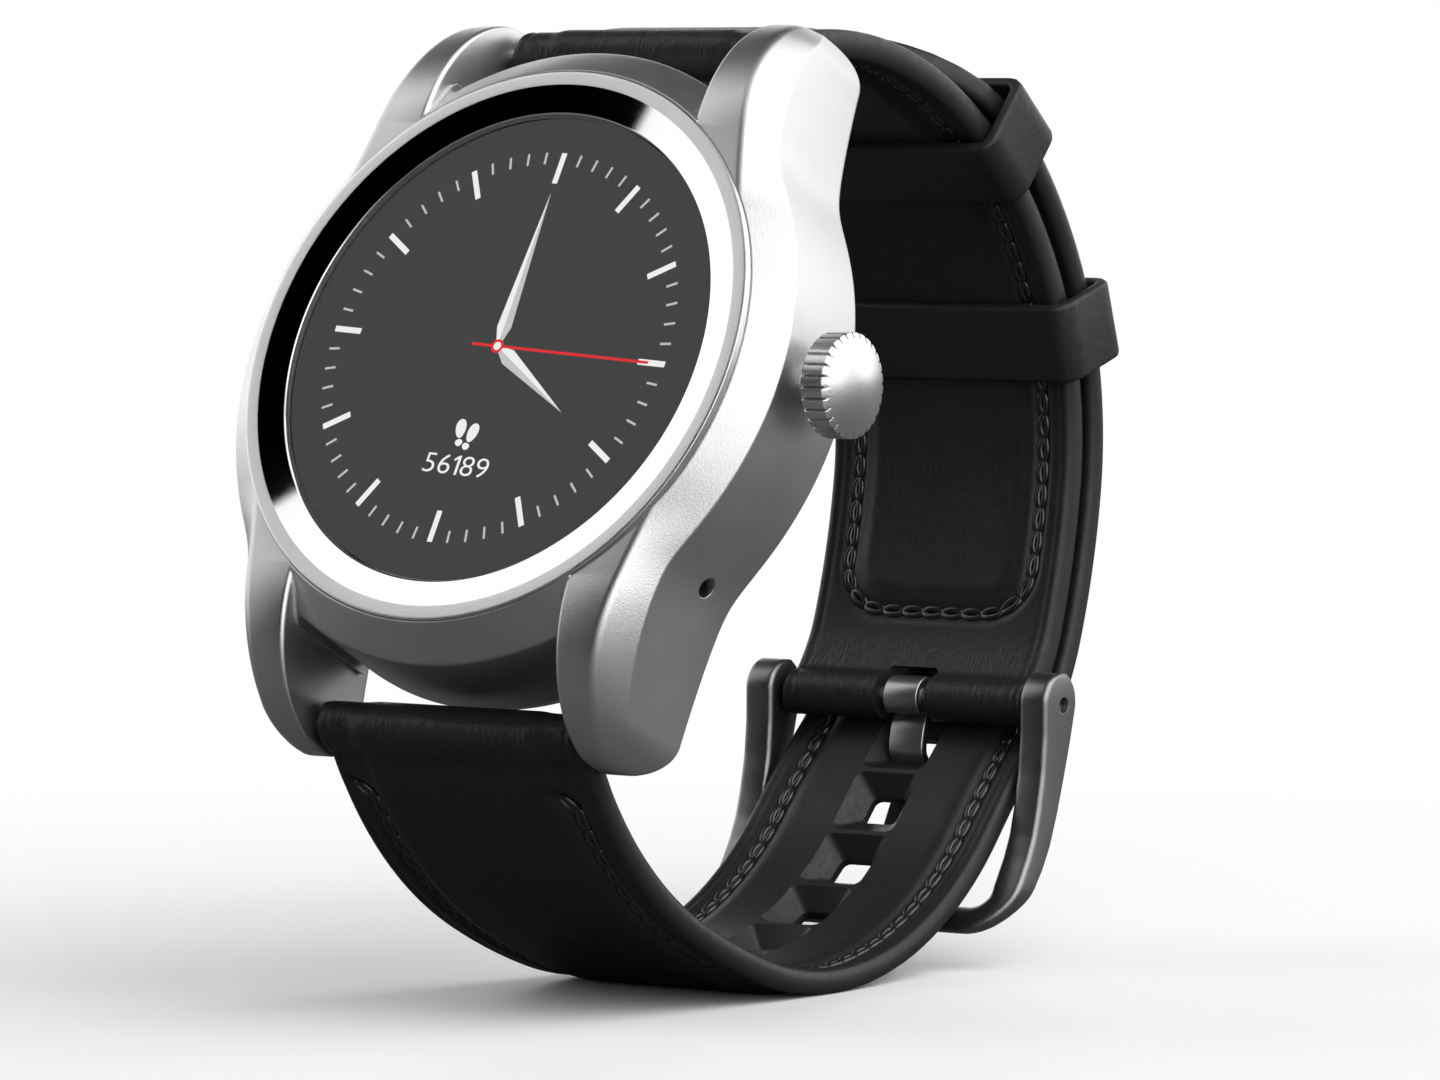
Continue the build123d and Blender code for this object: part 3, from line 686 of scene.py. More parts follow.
def hand(length, deg, width, at_r):
    """The two facets of a tapering hand."""
    side = clock(1, deg + 90)
    base = clock(0.02, deg)
    wide = clock(at_r, deg)
    tip = clock(length, deg)
    left = [base - side * width * 0.35, wide - side * width, tip, wide * 0.3]
    right = [base + side * width * 0.35, wide * 0.3, tip, wide + side * width]
    return left, right


for hand_name, length, deg in (("hand_minute", 0.81, 0.0), ("hand_hour", 0.60, 120.0)):
    left, right = hand(length, deg, 0.043, 0.10)
    graphic(hand_name + "_a", [left], M_WHITE)
    graphic(hand_name + "_b", [right], M_GREY)
# the second hand and the hub lie above the rest
graphic("hand_second", [bar(-0.16, 0.93, 90, 0.014)], M_RED, -0.43, -0.42)
circle = [(0.036 * math.cos(t), 0.036 * math.sin(t))
          for t in np.linspace(0, 2 * math.pi, 32, endpoint=False)]
graphic("hand_hub", [circle], M_RED, -0.43, -0.415)
graphic("hand_hub_dot", [[(0.6 * x, 0.6 * y) for x, y in circle]], M_WHITE, -0.415, -0.41)


def oval(cx, cy, a, b, lean):
    """Egg shape, wider at the top."""
    t = np.linspace(0, 2 * math.pi, 28, endpoint=False)
    pts = np.stack([a * np.cos(t) * (1 + 0.16 * np.sin(t)), b * np.sin(t)], -1)
    return turn2(pts, lean) + np.array([cx, cy])


steps = [oval(-0.047, -0.440, 0.030, 0.050, 0.18), oval(-0.032, -0.513, 0.021, 0.018, 0.18),
         oval(0.032, -0.455, 0.030, 0.050, -0.18), oval(0.017, -0.528, 0.021, 0.018, -0.18)]
graphic("steps_icon", steps, M_WHITE)


COUNT_U = -0.628


def count_text():
    """Step count without its third digit, which is drawn below as a plain outline."""
    curve = bpy.data.curves.new("step_count", "FONT")
    curve.body = "56 89"
    curve.align_x = "CENTER"
    curve.align_y = "CENTER"
    curve.offset = -0.012
    curve.space_character = 1.02
    curve.extrude = 0.01
    tmp = in_scene("tmp_text", curve)
    deps = bpy.context.evaluated_depsgraph_get()
    deps.update()
    mesh = bpy.data.meshes.new_from_object(tmp.evaluated_get(deps))
    bpy.data.objects.remove(tmp)
    v = np.array([p.co[:] for p in mesh.vertices])
    lo, hi = v.min(0), v.max(0)
    v = (v - (lo + hi) / 2)
    v[:, 0] *= 0.395 * FACE_R / (hi[0] - lo[0])
    v[:, 1] *= 0.100 * FACE_R / (hi[1] - lo[1])
    flat = turn2(v[:, :2] + np.array([0, COUNT_U * FACE_R]), DIAL_TURN) + CENTRE
    n = np.where(v[:, 2] > 0, GRAPHIC_N1, GRAPHIC_N0)
    world = put(np.column_stack([flat, n]))
    for p, q in zip(mesh.vertices, world):
        p.co = Vector(q)
    obj = in_scene("step_count", mesh)
    bm = bmesh.new()
    bm.from_mesh(mesh)
    bmesh.ops.remove_doubles(bm, verts=bm.verts, dist=1e-7)
    bmesh.ops.recalc_face_normals(bm, faces=bm.faces)
    bm.to_mesh(mesh)
    bm.free()
    mesh.materials.clear()
    shade(obj, 0, smooth=False)
    finish_piece(obj, M_WHITE, "watch")


count_text()
one = [(0.004, -0.05), (0.018, -0.05), (0.018, 0.05), (0.008, 0.05), (-0.018, 0.032), (-0.018, 0.020),
       (0.004, 0.034)]
graphic("step_count_one", [[(x, y + COUNT_U) for x, y in one]], M_WHITE)

# ================================================================ crown
CROWN_X0, CROWN_X1, CROWN_X2 = 23.4, 25.15, 26.25     # inner end, end of the flutes, top of the dome
FLUTES = 28


def crown_mesh():
    """Barrel with narrow V flutes that run out to points over a bright chamfer, and a low domed cap."""
    rim = CROWN_R - 0.44
    prof = [(0.0, CROWN_X0, 0.0), (2.4, CROWN_X0, 0.0), (CROWN_R - 0.32, CROWN_X0, 0.0),
            (CROWN_R - 0.1, CROWN_X0 + 0.05, 0.7), (CROWN_R, CROWN_X0 + 0.16, 1.0)]
    prof += [(CROWN_R, x, 1.0) for x in np.linspace(CROWN_X0 + 0.4, CROWN_X1 - 0.04, 5)]
    for t in np.linspace(0.08, 1, 7):
        prof.append((CROWN_R + (rim - CROWN_R) * t, CROWN_X1 + 0.24 * t, 1.0 - t))
    height = CROWN_X2 - CROWN_X1 - 0.24
    for t in np.linspace(0, 1, 16)[1:]:
        prof.append((rim * (1 - t), CROWN_X1 + 0.24 + height * (1 - (1 - t) ** 2), 0.0))
    # each flute: the V, its two shoulders and a slightly crowned land
    beat = [(-0.15, 0.0), (-0.11, 0.16), (-0.055, 0.75), (0.0, 1.0), (0.055, 0.75), (0.11, 0.16),
            (0.15, 0.0), (0.3, -0.03), (0.5, -0.05), (0.7, -0.03)]
    segs = FLUTES * len(beat)
    th = np.array([(i + p) * 2 * math.pi / FLUTES for i in range(FLUTES) for p, _ in beat])
    cut = np.array([0.33 * d for _ in range(FLUTES) for _, d in beat])
    verts, rings = [], []
    for r, x, depth in prof:
        rings.append((r < 1e-5, len(verts)))
        if r < 1e-5:
            verts.append((x, 0.0, CROWN_N))
            continue
        rr = r - cut * depth
        verts.extend(zip(np.full(segs, x), rr * np.cos(th), CROWN_N + rr * np.sin(th)))
    return new_object("crown_visual", put(verts), ring_faces(rings, segs), 20)


finish_piece(crown_mesh(), M_CROWN, "crown", ["crown_cap"])

# ================================================================ strap
STITCH_IN = 2.35
STITCH_PITCH = 1.68
STITCH_R, STITCH_LIFT = 0.26, 0.05


def rounded_path(line, s0, s1, radius):
    """Stitch path on a strap as (x, s) points: up one side, round the end, down the other."""
    def width_at(s):
        return float(half_width(station(line, s)[0])) - STITCH_IN

    run = np.arange(s0, s1 - radius, 0.15)
    pts = [(-width_at(s), s) for s in run]
    w = width_at(s1)
    for t in np.linspace(0, math.pi / 2, 12):
        pts.append((-w + radius - radius * math.cos(t), s1 - radius + radius * math.sin(t)))
    pts += [(x, s1) for x in np.arange(-w + radius + 0.15, w - radius, 0.15)]
    for t in np.linspace(math.pi / 2, 0, 12):
        pts.append((w - radius + radius * math.cos(t), s1 - radius + radius * math.sin(t)))
    pts += [(width_at(s), s) for s in run[::-1]]
    return np.array(pts)


def resample(path, step):
    seg = np.linalg.norm(np.diff(path, axis=0), axis=1)
    total = np.concatenate([[0], np.cumsum(seg)])
    count = max(2, int(round(total[-1] / step)) + 1)
    at = np.linspace(0, total[-1], count)
    return np.stack([np.interp(at, total, path[:, i]) for i in range(path.shape[1])], -1)


def path_distance(px, ps, path):
    """Distance from each (x, s) to the path, in blocks along s."""
    out = np.full(px.shape, 9.0)
    flat_x, flat_s, flat = px.ravel(), ps.ravel(), out.ravel()
    order = np.argsort(flat_s)
    for block in np.array_split(order, max(1, len(order) // 1500)):
        lo, hi = flat_s[block].min() - 4, flat_s[block].max() + 4
        near = path[(path[:, 1] > lo) & (path[:, 1] < hi)]
        if len(near):
            dx = flat_x[block][:, None] - near[None, :, 0]
            ds = flat_s[block][:, None] - near[None, :, 1]
            flat[block] = np.hypot(dx, ds).min(1)
    return flat.reshape(px.shape)


def pad_inside(px, ps, w_line, s0, s1, radius):
    """Signed distance inside a rounded rectangle of half width w_line, from s0 to s1."""
    qx = np.abs(px) - (w_line - radius)
    mid, half = (s0 + s1) / 2, (s1 - s0) / 2
    qs = np.abs(ps - mid) - (half - radius)
    outside = np.hypot(np.maximum(qx, 0), np.maximum(qs, 0)) + np.minimum(np.maximum(qx, qs), 0) - radius
    return -outside


class Strap:
    """One strap half: a closed sheet along its centre line, with rounded sides, pads and stitch grooves.

    info gives for each face its pad (lift, start, end, corner radius, how far inside its edge it begins to
    rise and is full), its stitch path, and the depth and reach of the stitch groove."""

    cols, step = 104, 0.3

    def __init__(self, name, line, s0, s1, half_thick, info, tip=None):
        self.name, self.line, self.half_thick = name, line, half_thick
        self.s0, self.s1, self.info, self.tip = s0, s1, info, tip

    def width(self, s):
        y = np.vectorize(lambda v: station(self.line, v)[0])(s)
        w = half_width(y)
        if self.tip is not None:
            w = np.minimum(w, self.tip(s))
        return w

    def relief(self, px, ps, w, side):
        """Height of the face above its plain level, at x and s."""
        pad, path, depth, reach = self.info[side]
        h = np.zeros_like(px)
        if path is not None:
            d = path_distance(px, ps, path)
            h -= depth * np.exp(-(d / reach) ** 4)
        if pad is not None:
            lift, s0, s1, radius, soft0, soft1 = pad
            inside = pad_inside(px, ps, w - STITCH_IN, s0, s1, radius)
            h += lift * smooth_step(soft0, soft1, inside)
        return h

    def surface(self, px, ps, side):
        """Offset to the left of travel of the finished face at (x, s)."""
        w = self.width(ps)
        half = self.half_thick(ps)
        edge = np.clip(w - np.abs(px), 0, None)
        rim = np.minimum(0.62, half)
        round_off = np.where(edge < rim, rim - np.sqrt(np.clip(rim ** 2 - (rim - edge) ** 2, 0, None)), 0)
        seam = 0.07 * np.exp(-((edge - 0.98) / 0.13) ** 2) * (half > 0.7)
        h = half - round_off - seam + self.relief(px, ps, w, side) * (half > 0.45)
        return np.maximum(h, 0.02) * (1 if side == "left" else -1)

    def build(self):
        ends = np.sin(np.linspace(0, math.pi / 2, 9)) ** 2
        s = np.concatenate([self.s0 + 1.4 * ends * ends,
                            np.arange(self.s0 + 1.4 + self.step, self.s1 - 1.2, self.step),
                            self.s1 - 1.0 * (ends * ends)[::-1]])
        s = np.unique(np.round(s, 5))
        w = self.width(s)
        t = np.linspace(-1, 1, self.cols)
        # crowd the columns towards both edges
        t = np.sign(t) * (1 - (1 - np.abs(t)) ** 1.12)
        px = w[:, None] * t[None, :]
        ps = np.repeat(s[:, None], self.cols, 1)
        left = self.surface(px, ps, "left")
        right = self.surface(px, ps, "right")
        rows = len(s)
        pl = along(self.line, ps, left, px)
        pr = along(self.line, ps, right, px)
        verts = np.concatenate([pl.reshape(-1, 3), pr.reshape(-1, 3)])
        off = rows * self.cols
        faces = grid_faces(rows, self.cols) + grid_faces(rows, self.cols, base=off, flip=True)
        # the side walls and the two ends join the faces
        for i in range(rows - 1):
            a, b = i * self.cols, (i + 1) * self.cols
            faces.append((a, b, b + off, a + off))
            a, b = a + self.cols - 1, b + self.cols - 1
            faces.append((a, a + off, b + off, b))
        for j in range(self.cols - 1):
            a, b = j, (rows - 1) * self.cols + j
            faces.append((a, a + off, a + 1 + off, a + 1))
            faces.append((b, b + 1, b + 1 + off, b + off))
        return new_object(self.name, verts, faces, 50)

    def stitches(self, name, side, path):
        """A row of long pointed links lying in the groove."""
        pts = resample(path, STITCH_PITCH)
        ring, tube = 20, 8
        t = np.linspace(0, 2 * math.pi, ring, endpoint=False)
        loop = np.stack([0.78 * np.cos(t), 0.29 * np.copysign(np.abs(np.sin(t)) ** 1.15, np.sin(t)),
                         -0.10 * np.abs(np.cos(t)) ** 3], -1)
        tan = np.roll(loop, -1, 0) - np.roll(loop, 1, 0)
        tan /= np.linalg.norm(tan, axis=1)[:, None]
        out = np.stack([tan[:, 1], -tan[:, 0]], -1)
        turn = np.linspace(0, 2 * math.pi, tube, endpoint=False)
        # one link: along and across the path, and up from it
        flat = loop[:, None, :2] + out[:, None, :] * (STITCH_R * np.cos(turn))[None, :, None]
        rise = loop[:, None, 2] + STITCH_R * np.sin(turn)[None, :]
        flat, rise = flat.reshape(-1, 2), rise.reshape(-1, 1)
        rows, faces = [], []
        for a, b in zip(pts[:-1], pts[1:]):
            d = (b - a) / np.linalg.norm(b - a)
            cross = np.array([-d[1], d[0]])
            faces += grid_faces(ring, tube, True, True, base=len(rows) * ring * tube, flip=True)
            rows.append(np.hstack([(a + b) / 2 + flat[:, :1] * d + flat[:, 1:] * cross, rise]))
        v = np.vstack(rows)
        sign = 1 if side == "left" else -1
        # every link stands on the groove floor under its own middle
        per = ring * tube
        mids = np.repeat(v[:, :2].reshape(-1, per, 2).mean(1), per, 0)
        floor = np.abs(self.surface(mids[:, 0], mids[:, 1], side))
        p = along(self.line, v[:, 1], sign * (floor + STITCH_LIFT + v[:, 2]), v[:, 0])
        return new_object(name, p, faces, 60)


def grain_attribute(obj, line, amount):
    """Per-vertex strength of the leather grain, from arc length along the strap."""
    mesh = obj.data
    co = np.array([v.co[:] for v in mesh.vertices]) / MM
    table = np.array([station(line, s)[:2] for s in np.arange(-2, length_of(line) + 2, 0.5)])
    yz = co[:, 1:] - DIAL[1:]
    s_near = np.empty(len(yz))
    for block in np.array_split(np.arange(len(yz)), 60):
        dy = yz[block][:, None, 0] - table[None, :, 0]
        dz = yz[block][:, None, 1] - table[None, :, 1]
        s_near[block] = np.hypot(dy, dz).argmin(1) * 0.5 - 2
    layer = mesh.attributes.new("grain", "FLOAT", "POINT")
    layer.data.foreach_set("value", np.asarray(amount(s_near), np.float32))


# ---------------------------------------------------------------- the long strap, from the lower bar
def roll(radius, s):
    """Half thickness of a roll at a distance s from its axis."""
    return np.sqrt(np.clip(radius ** 2 - s ** 2, 0, None))


def long_half(s):
    """Half thickness of the long strap: the roll, the body, and the end thinned to an edge."""
    s = np.asarray(s, float)
    flat = LONG_T / 2 * smooth_step(-0.2, 0.8, s)
    fade = smooth_step(3.0, 4.5, s)
    body = smooth_max(roll(ROLL_R, s), flat, 0.35) * (1 - fade) + LONG_T / 2 * fade
    end = LONG_LEN - s
    tip = np.where(end < 0.8, np.sqrt(np.clip(1 - (1 - np.clip(end, 0, 0.8) / 0.8) ** 2, 0, 1)), 1.0)
    return np.maximum(np.where(s <= -ROLL_R + 1e-6, 0.02, body) * tip, 0.02)


def long_tip(s):
    """Half width that the long strap's end narrows to."""
    end = np.clip(LONG_LEN - np.asarray(s, float), 0, None)
    return np.interp(end, [0, 0.25, 0.8, 1.6, 2.8, 4.4, 6.4, 9.5, 200],
                     [1.6, 3.2, 4.7, 5.9, 7.2, 8.4, 9.4, 10.3, 60])


def hook(x, t0, t1):
    """Curl at the start of a stitch row."""
    t = np.linspace(t0, t1, 9)
    return np.stack([x - 1.5 + 1.5 * np.sin(t), START - 1.3 * np.cos(t)], -1)


PAD_START = -40     # well before the strap, so that a pad has only its far end
START = 5.2
LONG_PAD = (LONG_LEN - 3.6, 6.2)     # far end and corner radius
end_path = rounded_path(LONG, START, *LONG_PAD)
outer_long_path = np.concatenate([hook(end_path[0][0], 0.2, math.pi / 2), end_path,
                                  hook(end_path[-1][0], math.pi / 2, 0.2)])
inner_long_path = rounded_path(LONG, 7.0, *LONG_PAD)
long_strap = Strap(
    "strap_long_visual", LONG, -ROLL_R, LONG_LEN, long_half,
    {"left": ((0.20, PAD_START, *LONG_PAD, 0.55, 1.9), inner_long_path, 0.32, 0.78),
     "right": ((0.26, PAD_START, *LONG_PAD, 0.25, 1.5), outer_long_path, 0.34, 0.55)},
    tip=long_tip)
strap_long = long_strap.build()


def long_hole(s):
    """Cutter for one tongue hole: a slot that flares towards the wrist, with a soft lip."""
    levels = [(-2.2, 1.60, 1.35, 0.5), (-0.86, 1.60, 1.35, 0.5), (-0.72, 1.42, 1.18, 0.45),
              (-0.35, 1.38, 1.14, 0.45), (0.66, 2.26, 2.28, 0.6), (0.86, 2.46, 2.44, 0.65),
              (1.06, 2.62, 2.60, 0.7), (2.4, 2.72, 2.7, 0.75)]
    rings = []
    for out, hx, hs, r in levels:
        loop = rounded([(-hx, -hs), (hx, -hs), (hx, hs), (-hx, hs)], r, 5)
        rings.append([(x, s + v + 0.25 * (out < 0.5), out) for x, v in loop])
    v = np.array([p for r in rings for p in r])
    return new_object("hole", along(LONG, v[:, 1], v[:, 2], v[:, 0]), tube_faces(len(rings), len(rings[0])))


HOLE_PITCH, FIRST_HOLE = 5.55, 63.4
for i in range(-2, 6):
    boolean(strap_long, long_hole(FIRST_HOLE - HOLE_PITCH * i), "DIFFERENCE")
shade(strap_long, 38)
grain_attribute(strap_long, LONG, lambda s: 0.25 + 0.75 * (1 - smooth_step(1.2, 3.2, s)))
finish_piece(strap_long, M_STRAP, "long_strap", ["strap_long"])
for name, side, path in (("inner", "left", inner_long_path), ("outer", "right", outer_long_path)):
    links = long_strap.stitches("stitches_long_" + name, side, path)
    finish_piece(links, M_THREAD, "long_strap")

# ---------------------------------------------------------------- the short strap, from the upper bar
def short_half(s):
    """Half thickness of the short strap: a roll at either end and the body between them."""
    s = np.asarray(s, float)
    end = SHORT_LEN - s
    flat = SHORT_T / 2 * smooth_step(-0.2, 0.8, s) * smooth_step(-0.2, 0.8, end)
    body = smooth_max(smooth_max(roll(ROLL_R, s), flat, 0.2), roll(BUCKLE_ROLL_R, end), 0.2)
    fade = smooth_step(3.0, 4.5, s) * smooth_step(3.0, 4.5, end)
    body = body * (1 - fade) + SHORT_T / 2 * fade
    closed = (s <= -ROLL_R + 1e-6) | (end <= -BUCKLE_ROLL_R + 1e-6)
    return np.maximum(np.where(closed, 0.02, body), 0.02)


PAD_END, PAD_CORNER = 64.3, 3.4
OUTER_PAD = (PAD_END + 1.2, PAD_CORNER)
inner_short_path = rounded_path(SHORT, 6.0, PAD_END, PAD_CORNER)
outer_short_path = rounded_path(SHORT, 6.0, *OUTER_PAD)
short_strap = Strap(
    "strap_short_visual", SHORT, -ROLL_R, SHORT_LEN + BUCKLE_ROLL_R, short_half,
    {"left": ((0.16, PAD_START, *OUTER_PAD, 0.3, 1.5), outer_short_path, 0.34, 0.55),
     "right": ((0.24, PAD_START, PAD_END, PAD_CORNER, 0.8, 2.0), inner_short_path, 0.34, 0.6)})
strap_short = short_strap.build()


def pin_notch():
    """Cutter for the tongue's notch in the buckle roll."""
    loop = rounded([(-2.15, -3.0), (2.15, -3.0), (2.15, 2.1), (-2.15, 2.1)], [0.2, 0.2, 0.5, 0.5], 6)
    p = np.array([(x, PIN_Y + DIAL[1] + d, PIN_Z + DIAL[2] + w) for d in (-3.2, 3.2) for x, w in loop]) * MM
    return new_object("notch", p, prism_faces(len(loop)))


boolean(strap_short, pin_notch(), "DIFFERENCE")
shade(strap_short, 38)
grain_attribute(strap_short, SHORT, lambda s: 0.2 + 0.8 * np.maximum(
    smooth_step(PAD_END + 1, PAD_END + 4, s), 1 - smooth_step(1.2, 3.2, s)))
finish_piece(strap_short, M_STRAP, "short_strap", ["strap_short"])
for name, side, path in (("inner", "right", inner_short_path), ("outer", "left", outer_short_path)):
    links = short_strap.stitches("stitches_short_" + name, side, path)
    finish_piece(links, M_THREAD, "short_strap")

# ================================================================ keepers
KEEPER_W, KEEPER_WALL, KEEPER_GAP = 5.6, 0.85, 0.25
KEEPERS = {"keeper_upper": (28.7, "upper_keeper"), "keeper_lower": (44.1, "lower_keeper")}


def keeper_mesh(name, s):
    """A band round both strap layers, with softly rounded edges."""
    y, z, h = station(SHORT, s)
    half_in = 10.2 + 0.15 + KEEPER_GAP
    wrist = SHORT_T / 2 + KEEPER_GAP
    outside = STACK + LONG_T / 2 + KEEPER_GAP
    w = KEEPER_WALL
    x1, low, high = half_in + w / 2, -wrist - w / 2, outside + w / 2
    loop = rounded([(-x1, low), (x1, low), (x1, high), (-x1, high)], 0.95, 9)
    dense = resample(np.vstack([loop, loop[:1]]), 0.45)[:-1]
    nxt = np.roll(dense, -1, 0) - np.roll(dense, 1, 0)
    nxt /= np.linalg.norm(nxt, axis=1)[:, None]
    normal = np.stack([nxt[:, 1], -nxt[:, 0]], -1)
    run, half = KEEPER_W / 2, w / 2
    section = rounded([(-run, -half), (run, -half), (run, half), (-run, half)], [0.2, 0.2, 0.36, 0.36], 5)
    e_out = np.array([0, -math.sin(h), math.cos(h)])
    e_run = np.array([0, math.cos(h), math.sin(h)])
    origin = np.array([0, y + DIAL[1], z + DIAL[2]])
    verts = []
    for p, m in zip(dense, normal):
        for run, t in section:
            q = p + m * t
            verts.append((origin + X_AX * q[0] + e_out * q[1] + e_run * run) * MM)
    return new_object(name, verts, grid_faces(len(dense), len(section), wrap_rows=True, wrap_cols=True), 50)


for node, (s, body) in KEEPERS.items():
    finish_piece(keeper_mesh(node + "_visual", s), M_KEEPER, body, [node])

# ================================================================ buckle
ARM_LEAN = math.radians(13.0)
ARM_INNER, ARM_OUTER, ARM_LENGTH = 10.55, 12.85, 15.7
ARM_DOWN = np.array([0, -math.sin(ARM_LEAN), -math.cos(ARM_LEAN)])
ARM_OUT = np.array([0, math.cos(ARM_LEAN), -math.sin(ARM_LEAN)])
PIN_AT = np.array([0, PIN_Y + DIAL[1], PIN_Z + DIAL[2]])


def arm_edges(a):
    """Outer and wrist-side edge of an arm, across it, at a distance down from the pin."""
    outer = np.interp(a, [-2.15, 0, 2.5, 5, 7.5, 9.8, 11.5, 13, 14.6, 16.7],
                      [1.0, 1.7, 1.6, 1.4, 1.15, 0.78, 0.25, -0.45, -1.3, -2.45])
    inner = np.interp(a, [-2.15, 0, 2.5, 5, 7.5, 9.4, 11, 12.6, 14, 15.6, 16.7],
                      [-1.6, -2.3, -1.75, -1.42, -1.38, -1.5, -1.85, -2.4, -2.95, -3.75, -4.2])
    return float(outer), float(inner)


def buckle_mesh():
    """One bar swept down the right arm, round the corner, along the end and up the left arm."""
    half_w = (ARM_OUTER - ARM_INNER) / 2
    xm = (ARM_OUTER + ARM_INNER) / 2
    radius = 2.75
    end = ARM_LENGTH
    top, head = -2.15, 2.05
    pts, ways = [], []
    eye_part = top + head * (1 - np.cos(np.linspace(0.02, math.pi / 2, 14)))
    for a in np.concatenate([eye_part, np.linspace(0.15, end - radius, 40)]):
        pts.append((xm, a))
        ways.append((0.0, 1.0))
    for t in np.linspace(0, math.pi / 2, 22)[1:]:
        pts.append((xm - radius + radius * math.cos(t), end - radius + radius * math.sin(t)))
        ways.append((-math.sin(t), math.cos(t)))
    for x in np.linspace(xm - radius, 0, 14)[1:]:
        pts.append((x, end))
        ways.append((-1.0, 0.0))
    pts += [(-x, a) for x, a in reversed(pts[:-1])]
    ways += [(x, -a) for x, a in reversed(ways[:-1])]
    verts, k = [], 0
    for (x, a), (dx, da) in zip(pts, ways):
        bar_part = float(smooth_step(end - radius, end, a))
        hw = half_w * (1 - 0.17 * bar_part)
        o, i = arm_edges(max(a, 0.0))
        mid, hd = (o + i) / 2, (o - i) / 2
        if a < 0:
            hd *= math.sqrt(max(1 - (a / (top - 0.01)) ** 2, 0.0004))
        hd = hd * (1 - bar_part) + 0.86 * bar_part
        r = min(0.42 + 0.4 * bar_part, hd * 0.7, hw * 0.7)
        sec = rounded([(-hw, -hd), (hw, -hd), (hw, hd), (-hw, hd)], r, 5)
        k = len(sec)
        for sx, sd in sec:
            px = x + da * sx
            pa = a - dx * sx
            o2, i2 = arm_edges(max(pa, 0.0))
            c = mid if a < 0 else (o2 + i2) / 2
            verts.append((PIN_AT + X_AX * px + ARM_DOWN * pa + ARM_OUT * (c + sd)) * MM)
    obj = new_object("buckle_visual", verts, tube_faces(len(pts), k), 40)
    segs = 40
    for side in (1, -1):
        v = [(PIN_AT + X_AX * side * x + np.array([0, 0.55 * math.cos(t), 0.55 * math.sin(t)])) * MM
             for x in (9.5, 13.5) for t in np.linspace(0, 2 * math.pi, segs, endpoint=False)]
        boolean(obj, new_object("pin_hole", v, prism_faces(segs)), "DIFFERENCE")
    shade(obj, 40)
    return obj


finish_piece(buckle_mesh(), M_BUCKLE, "buckle", ["buckle_frame"])


def tongue_mesh():
    """Flat tongue: a closed curl round the bar, then down through the strap to the frame's end."""
    mid = 0.8 + 0.35
    # the curl starts on the wrist side, goes over the bar and comes back under it
    turn = np.linspace(math.radians(228), math.radians(-62), 34)
    path = [(mid * math.cos(t), mid * math.sin(t)) for t in turn]
    y_through, z_through, h_through = station(LONG, FIRST_HOLE - 0.6)
    through = np.array([y_through - PIN_Y, z_through - PIN_Z])
    through += 1.7 * np.array([math.sin(h_through), -math.cos(h_through)])
    tip = (ARM_LENGTH + 0.6) * ARM_DOWN[1:] - 1.15 * ARM_OUT[1:]
    way = [(0.22, -1.42), (-0.12, -1.95), (-0.3, -2.7), (-0.46, -3.5), (-0.42, -4.05), (0.1, -4.65),
           tuple(through)]
    way += [tuple(through * (1 - t) + tip * t) for t in (0.15, 0.4, 0.65, 0.85, 1.0)]
    curve = resample(np.array(path + way), 0.22)
    for _ in range(3):
        curve[20:-2] = (curve[19:-3] + 2 * curve[20:-2] + curve[21:-1]) / 4
    tan = np.gradient(curve, axis=0)
    tan /= np.linalg.norm(tan, axis=1)[:, None]
    nor = np.stack([tan[:, 1], -tan[:, 0]], -1)
    verts, k = [], 0
    total = len(curve)
    for i, (p, m) in enumerate(zip(curve, nor)):
        left = (total - 1 - i) * 0.22
        w = 1.42 * min(1.0, math.sqrt(max(1 - (1 - min(left, 1.1) / 1.1) ** 2, 0.05)))
        sec = rounded([(-w, -0.35), (w, -0.35), (w, 0.35), (-w, 0.35)], 0.12, 3)
        k = len(sec)
        for x, t in sec:
            q = p + m * t
            verts.append((PIN_AT + np.array([x, q[0], q[1]])) * MM)
    return new_object("tongue_visual", verts, tube_faces(total, k), 40)


finish_piece(tongue_mesh(), M_TONGUE, "tongue", ["buckle_tongue"])

# ================================================================ carried-over CAD nodes
NODE_LOOKS = {
    "crystal_gasket": M_RUBBER, "display_module": M_DISPLAY, "inner_chassis": M_INNER, "main_board": M_BOARD,
    "board_chips": M_INNER, "battery": M_FOIL, "vibration_motor": M_TURNED, "mic_module": M_GOLD,
    "mic_mesh": M_INNER, "back_cover": M_BACK, "back_gasket": M_RUBBER, "sensor_window": M_BLACK_GLOSS,
    "sensor_board": M_BOARD, "sensor_leds": M_BLACK_GLOSS, "charge_contacts": M_GOLD,
    "case_screws": M_DARK_STEEL,
    "crown_stem": M_TURNED, "crown_seals": M_RUBBER, "crown_tube": M_TURNED, "crown_clip": M_TURNED,
    "push_pad": M_INNER, "crown_switch": M_INNER, "spring_bar_tubes": M_TURNED, "spring_bar_tips": M_TURNED,
    "spring_bar_springs": M_TURNED, "buckle_bar_tube": M_TURNED, "buckle_bar_tips": M_DARK_STEEL,
    "buckle_bar_spring": M_TURNED,
}
for node, mat in NODE_LOOKS.items():
    paint_node(node, mat)

